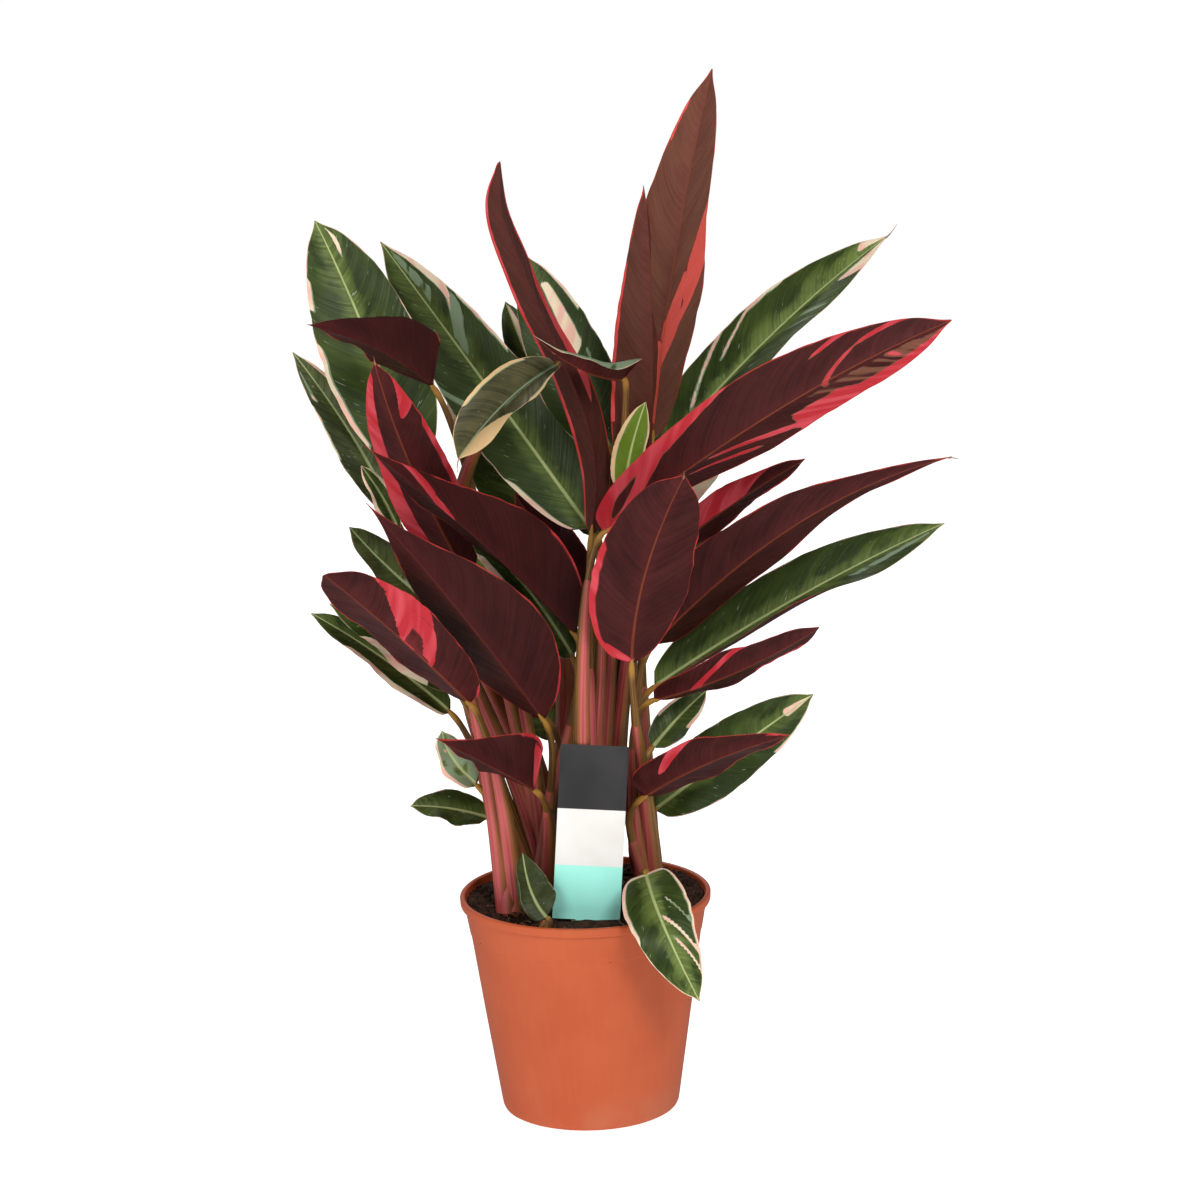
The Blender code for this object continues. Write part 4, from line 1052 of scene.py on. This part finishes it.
potShape = {"topRadius": 85, "baseRadius": 60, "height": 150, "wall": 1.4, "floor": 2, "rimHeight": 6.5,
            "rimOut": 2.2, "stepBelow": 26, "stepDepth": 0.7, "segments": 144, "drainRing": 38,
            "drainRadius": 4, "drains": 6, "sharpFrom": 50}
potColours = {"body": (0.455, 0.078, 0.021), "bodyLight": (0.500, 0.092, 0.026),
              "drawn": (0.58, 0.135, 0.048), "specks": (0.38, 0.065, 0.025), "dust": (0.42, 0.20, 0.12)}


def wallRadius(z):
    top = potShape["topRadius"] - potShape["rimOut"]
    return potShape["baseRadius"] + (top - potShape["baseRadius"]) * z / potShape["height"]


def potProfile():
    # radius and height in mm: up the inside, over the lip and down the outside
    shape = potShape
    top, height, wall, base = shape["topRadius"], shape["height"], shape["wall"], shape["baseRadius"]
    rim, step = height - shape["rimHeight"], height - shape["stepBelow"]
    below = wallRadius(step) - shape["stepDepth"]
    inside = top - shape["rimOut"] - wall
    outline = [(0, shape["floor"]), (base - 5, shape["floor"]), (wallRadius(4) - wall - 1, 3.0),
               (wallRadius(6) - wall, 6), (wallRadius(step) - wall, step), (wallRadius(rim) - wall, rim),
               (inside, height - 2)]
    for index in range(9):          # rolled lip
        angle = math.pi * (1 - index / 8)
        outline.append((inside + 1.8 + 1.8 * math.cos(angle), height - 1.3 + 1.3 * math.sin(angle)))
    outline += [(top - 0.05, height - 2.6), (top - 0.2, rim + 1.4), (top - 0.5, rim + 0.5),
                (top - 1.0, rim + 0.1), (wallRadius(rim) + 0.7, rim), (wallRadius(rim) + 0.25, rim - 0.3),
                (wallRadius(rim) + 0.1, rim - 1.0), (wallRadius(step) + 0.05, step + 1.4),
                (wallRadius(step) - 0.1, step + 0.8), (below + 0.1, step + 0.2), (below, step - 0.5),
                (wallRadius(70) - 0.2, 70), (wallRadius(6), 6), (wallRadius(2.5) - 0.1, 2.5),
                (wallRadius(1) - 0.7, 0.8), (base - 1.6, 0.2), (base - 2.5, 0), (0, 0)]
    return outline


def potFinish():
    colour = potColours
    finish, tree = newFinish("terracotta plastic", Specular_IOR_Level=0.35)
    place = objectPlace(tree)
    cloudy, specks = place.noise(14.0, 3.0, 0.55), place.noise(520.0)
    drawn = place.vectorMaths("MULTIPLY", (260, 260, 9)).noise(1.0)
    body = cloudy.mapped(0.3, 0.7).mix(colour["body"], colour["bodyLight"])
    body = drawn.mapped(0.45, 0.75, 0.0, 0.12).mix(body, colour["drawn"])
    body = specks.mapped(0.68, 0.76, 0.0, 0.20).mix(body, colour["specks"])
    dusty = place.parts()[2].mapped(0.0, 0.03, 1.0, 0.0) * cloudy.mapped(0.4, 0.7, 0.0, 0.30)
    body = dusty.mix(body, colour["dust"])
    return dressed(finish, body, (drawn + specks * 0.5, 0.10, 0.0003), cloudy.mapped(0.3, 0.7, 0.36, 0.50))


def finishSolid(piece, finish, sharpFrom):
    # smooth, but for edges past an angle in degrees
    piece.data.shade_smooth()
    piece.data.set_sharp_from_angle(angle=math.radians(sharpFrom))
    piece.data.materials.clear()
    piece.data.materials.append(finish)


def makePot():
    shape = potShape
    form = bmesh.new()
    points = [form.verts.new((x * mm, 0, z * mm)) for x, z in potProfile()]
    lines = [form.edges.new(pair) for pair in zip(points, points[1:])]
    bmesh.ops.spin(form, geom=points + lines, cent=(0, 0, 0), axis=(0, 0, 1), angle=math.tau,
                   steps=shape["segments"])
    bmesh.ops.remove_doubles(form, verts=form.verts, dist=0.00002)
    bmesh.ops.recalc_face_normals(form, faces=form.faces)
    pot = makePiece("grow_pot", meshFromBmesh("grow_pot", form))
    drills = bmesh.new()
    for index in range(shape["drains"]):
        angle = math.tau * (index + 0.5) / shape["drains"]
        place = Vector((math.cos(angle), math.sin(angle), 0)) * shape["drainRing"] * mm
        bmesh.ops.create_cone(drills, cap_ends=True, segments=28, depth=12 * mm,
                              radius1=shape["drainRadius"] * mm, radius2=shape["drainRadius"] * mm,
                              matrix=Matrix.Translation(place))
    drill = makePiece("drain_drill", meshFromBmesh("drain_drill", drills))
    cut = pot.modifiers.new("drains", "BOOLEAN")
    cut.operation = "DIFFERENCE"
    cut.solver = "EXACT"
    cut.object = drill
    settle(pot)
    bpy.data.objects.remove(drill)
    finishSolid(pot, potFinish(), shape["sharpFrom"])
    keepPiece(pot, "pot_plastic", "pot")


makePot()
print("pot made")


# Label: a plain printed card on a stake

# Its lowest block is mint, the next white and the top one dark; softness is how far one runs into the next
labelShape = {"width": 45, "top": 264, "bottom": 141, "thick": 0.8, "place": (0, -45), "lean": 4.4,
              "stake": 14, "stakeDepth": 40, "corner": 1.5, "bevel": 0.2, "whiteFrom": 181.4,
              "darkFrom": 220.4, "softness": 0.4, "sharpFrom": 40}
labelColours = {"dark": ((0.026, 0.025, 0.026), (0.034, 0.032, 0.033)),
                "mint": ((0.36, 0.90, 0.76), (0.39, 0.93, 0.80)),
                "white": ((0.76, 0.73, 0.69), (0.82, 0.80, 0.77))}


def labelFinish():
    shape = labelShape
    finish, tree = newFinish("printed card")
    place = objectPlace(tree)
    soft = place.noise(30.0)
    across, _, up = place.parts()
    height = (up + across * math.tan(math.radians(shape["lean"]))) * 1000.0
    cloudy = soft.mapped(0.35, 0.7)
    dark, white, mint = (cloudy.mix(*labelColours[name]) for name in ("dark", "white", "mint"))
    face = height.mapped(shape["whiteFrom"], shape["whiteFrom"] + shape["softness"]).mix(mint, white)
    face = height.mapped(shape["darkFrom"], shape["darkFrom"] + shape["softness"]).mix(face, dark)
    return dressed(finish, face, (place.noise(900.0), 0.08, 0.0002), soft.mapped(0.3, 0.7, 0.28, 0.40))


def makeLabel():
    shape = labelShape
    half, stake, corner = shape["width"] / 2, shape["stake"] / 2, shape["corner"]
    shoulder, deep = shape["bottom"] + 3, shape["bottom"] - shape["stakeDepth"]
    outline = [(half, shoulder)]
    for index in range(7):
        angle = math.pi / 2 * index / 6
        x, z = half + corner * (math.cos(angle) - 1), shape["top"] + corner * (math.sin(angle) - 1)
        outline.append((x, z))
    outline += [(-x, z) for x, z in outline[::-1]]
    outline += [(-stake, shoulder), (-stake * 0.8, deep + 8), (0, deep), (stake * 0.8, deep + 8),
                (stake, shoulder)]
    lean = math.tan(math.radians(shape["lean"]))
    form = bmesh.new()
    ring = []
    for x, z in outline:
        rise = z - shape["bottom"]
        slope = lean if rise > 0 else 0
        ring.append(form.verts.new(((x + rise * slope) * mm, 0, (z - x * slope) * mm)))
    grown = bmesh.ops.extrude_face_region(form, geom=[form.faces.new(ring)])
    moved = [item for item in grown["geom"] if isinstance(item, bmesh.types.BMVert)]
    bmesh.ops.translate(form, vec=(0, shape["thick"] * mm, 0), verts=moved)
    x, y = shape["place"]
    bmesh.ops.translate(form, vec=(x * mm, (y - shape["thick"] / 2) * mm, 0), verts=form.verts)
    bmesh.ops.recalc_face_normals(form, faces=form.faces)
    label = makePiece("stick_in_label", meshFromBmesh("stick_in_label", form))
    rounded = label.modifiers.new("rounded edge", "BEVEL")
    rounded.width = shape["bevel"] * mm
    rounded.segments = 2
    rounded.limit_method = "ANGLE"
    settle(label)
    finishSolid(label, labelFinish(), shape["sharpFrom"])
    keepPiece(label, "label_card", "plant_label")


makeLabel()
print("label made")


# Floor and light

stageShape = {"reach": 200, "below": 0.0005, "floorGlow": 0.81, "skyStrength": 0.25,
              "tones": ((0.80, 0.80, 0.80), (0.84, 0.84, 0.84))}
lights = {      # place, size, power, and the place that it looks at
    "key": ((0.9, -2.5, 2.0), 0.9, 44, (0, 0, 0.35)),
    "fill": ((-1.5, -2.2, 1.3), 1.4, 26, (0, 0, 0.35)),
    "back": ((-0.5, 2.0, 2.2), 1.4, 18, (0, 0, 0.4)),
}


def floorFinish():
    finish, tree = newFinish("pale floor", Roughness=0.7, Emission_Color=(1, 1, 1, 1),
                             Emission_Strength=stageShape["floorGlow"])
    face = objectPlace(tree).noise(2.0).mapped(0.3, 0.7).mix(*stageShape["tones"])
    return dressed(finish, face)


def setStage():
    form = bmesh.new()
    bmesh.ops.create_grid(form, x_segments=8, y_segments=8, size=stageShape["reach"])
    floor = makePiece("floor", meshFromBmesh("floor", form))
    floor.location.z = -stageShape["below"]
    floor.data.materials.append(floorFinish())
    floor.visible_glossy = False        # keeps pale haze off the dark leaves
    world = bpy.data.worlds.new("studio")
    world.use_nodes = True
    background = world.node_tree.nodes["Background"]
    background.inputs[0].default_value = (1, 1, 1, 1)
    background.inputs[1].default_value = stageShape["skyStrength"]
    bpy.context.scene.world = world
    for name, (place, size, power, target) in lights.items():
        data = bpy.data.lights.new(name, "AREA")
        data.shape = "DISK"
        data.size = size
        data.energy = power
        lamp = bpy.data.objects.new(name, data)
        lamp.location = place
        lamp.rotation_euler = (Vector(target) - Vector(place)).to_track_quat("-Z", "Y").to_euler()
        bpy.context.scene.collection.objects.link(lamp)
    bpy.context.scene.view_settings.view_transform = "Standard"


setStage()
print("stage set")
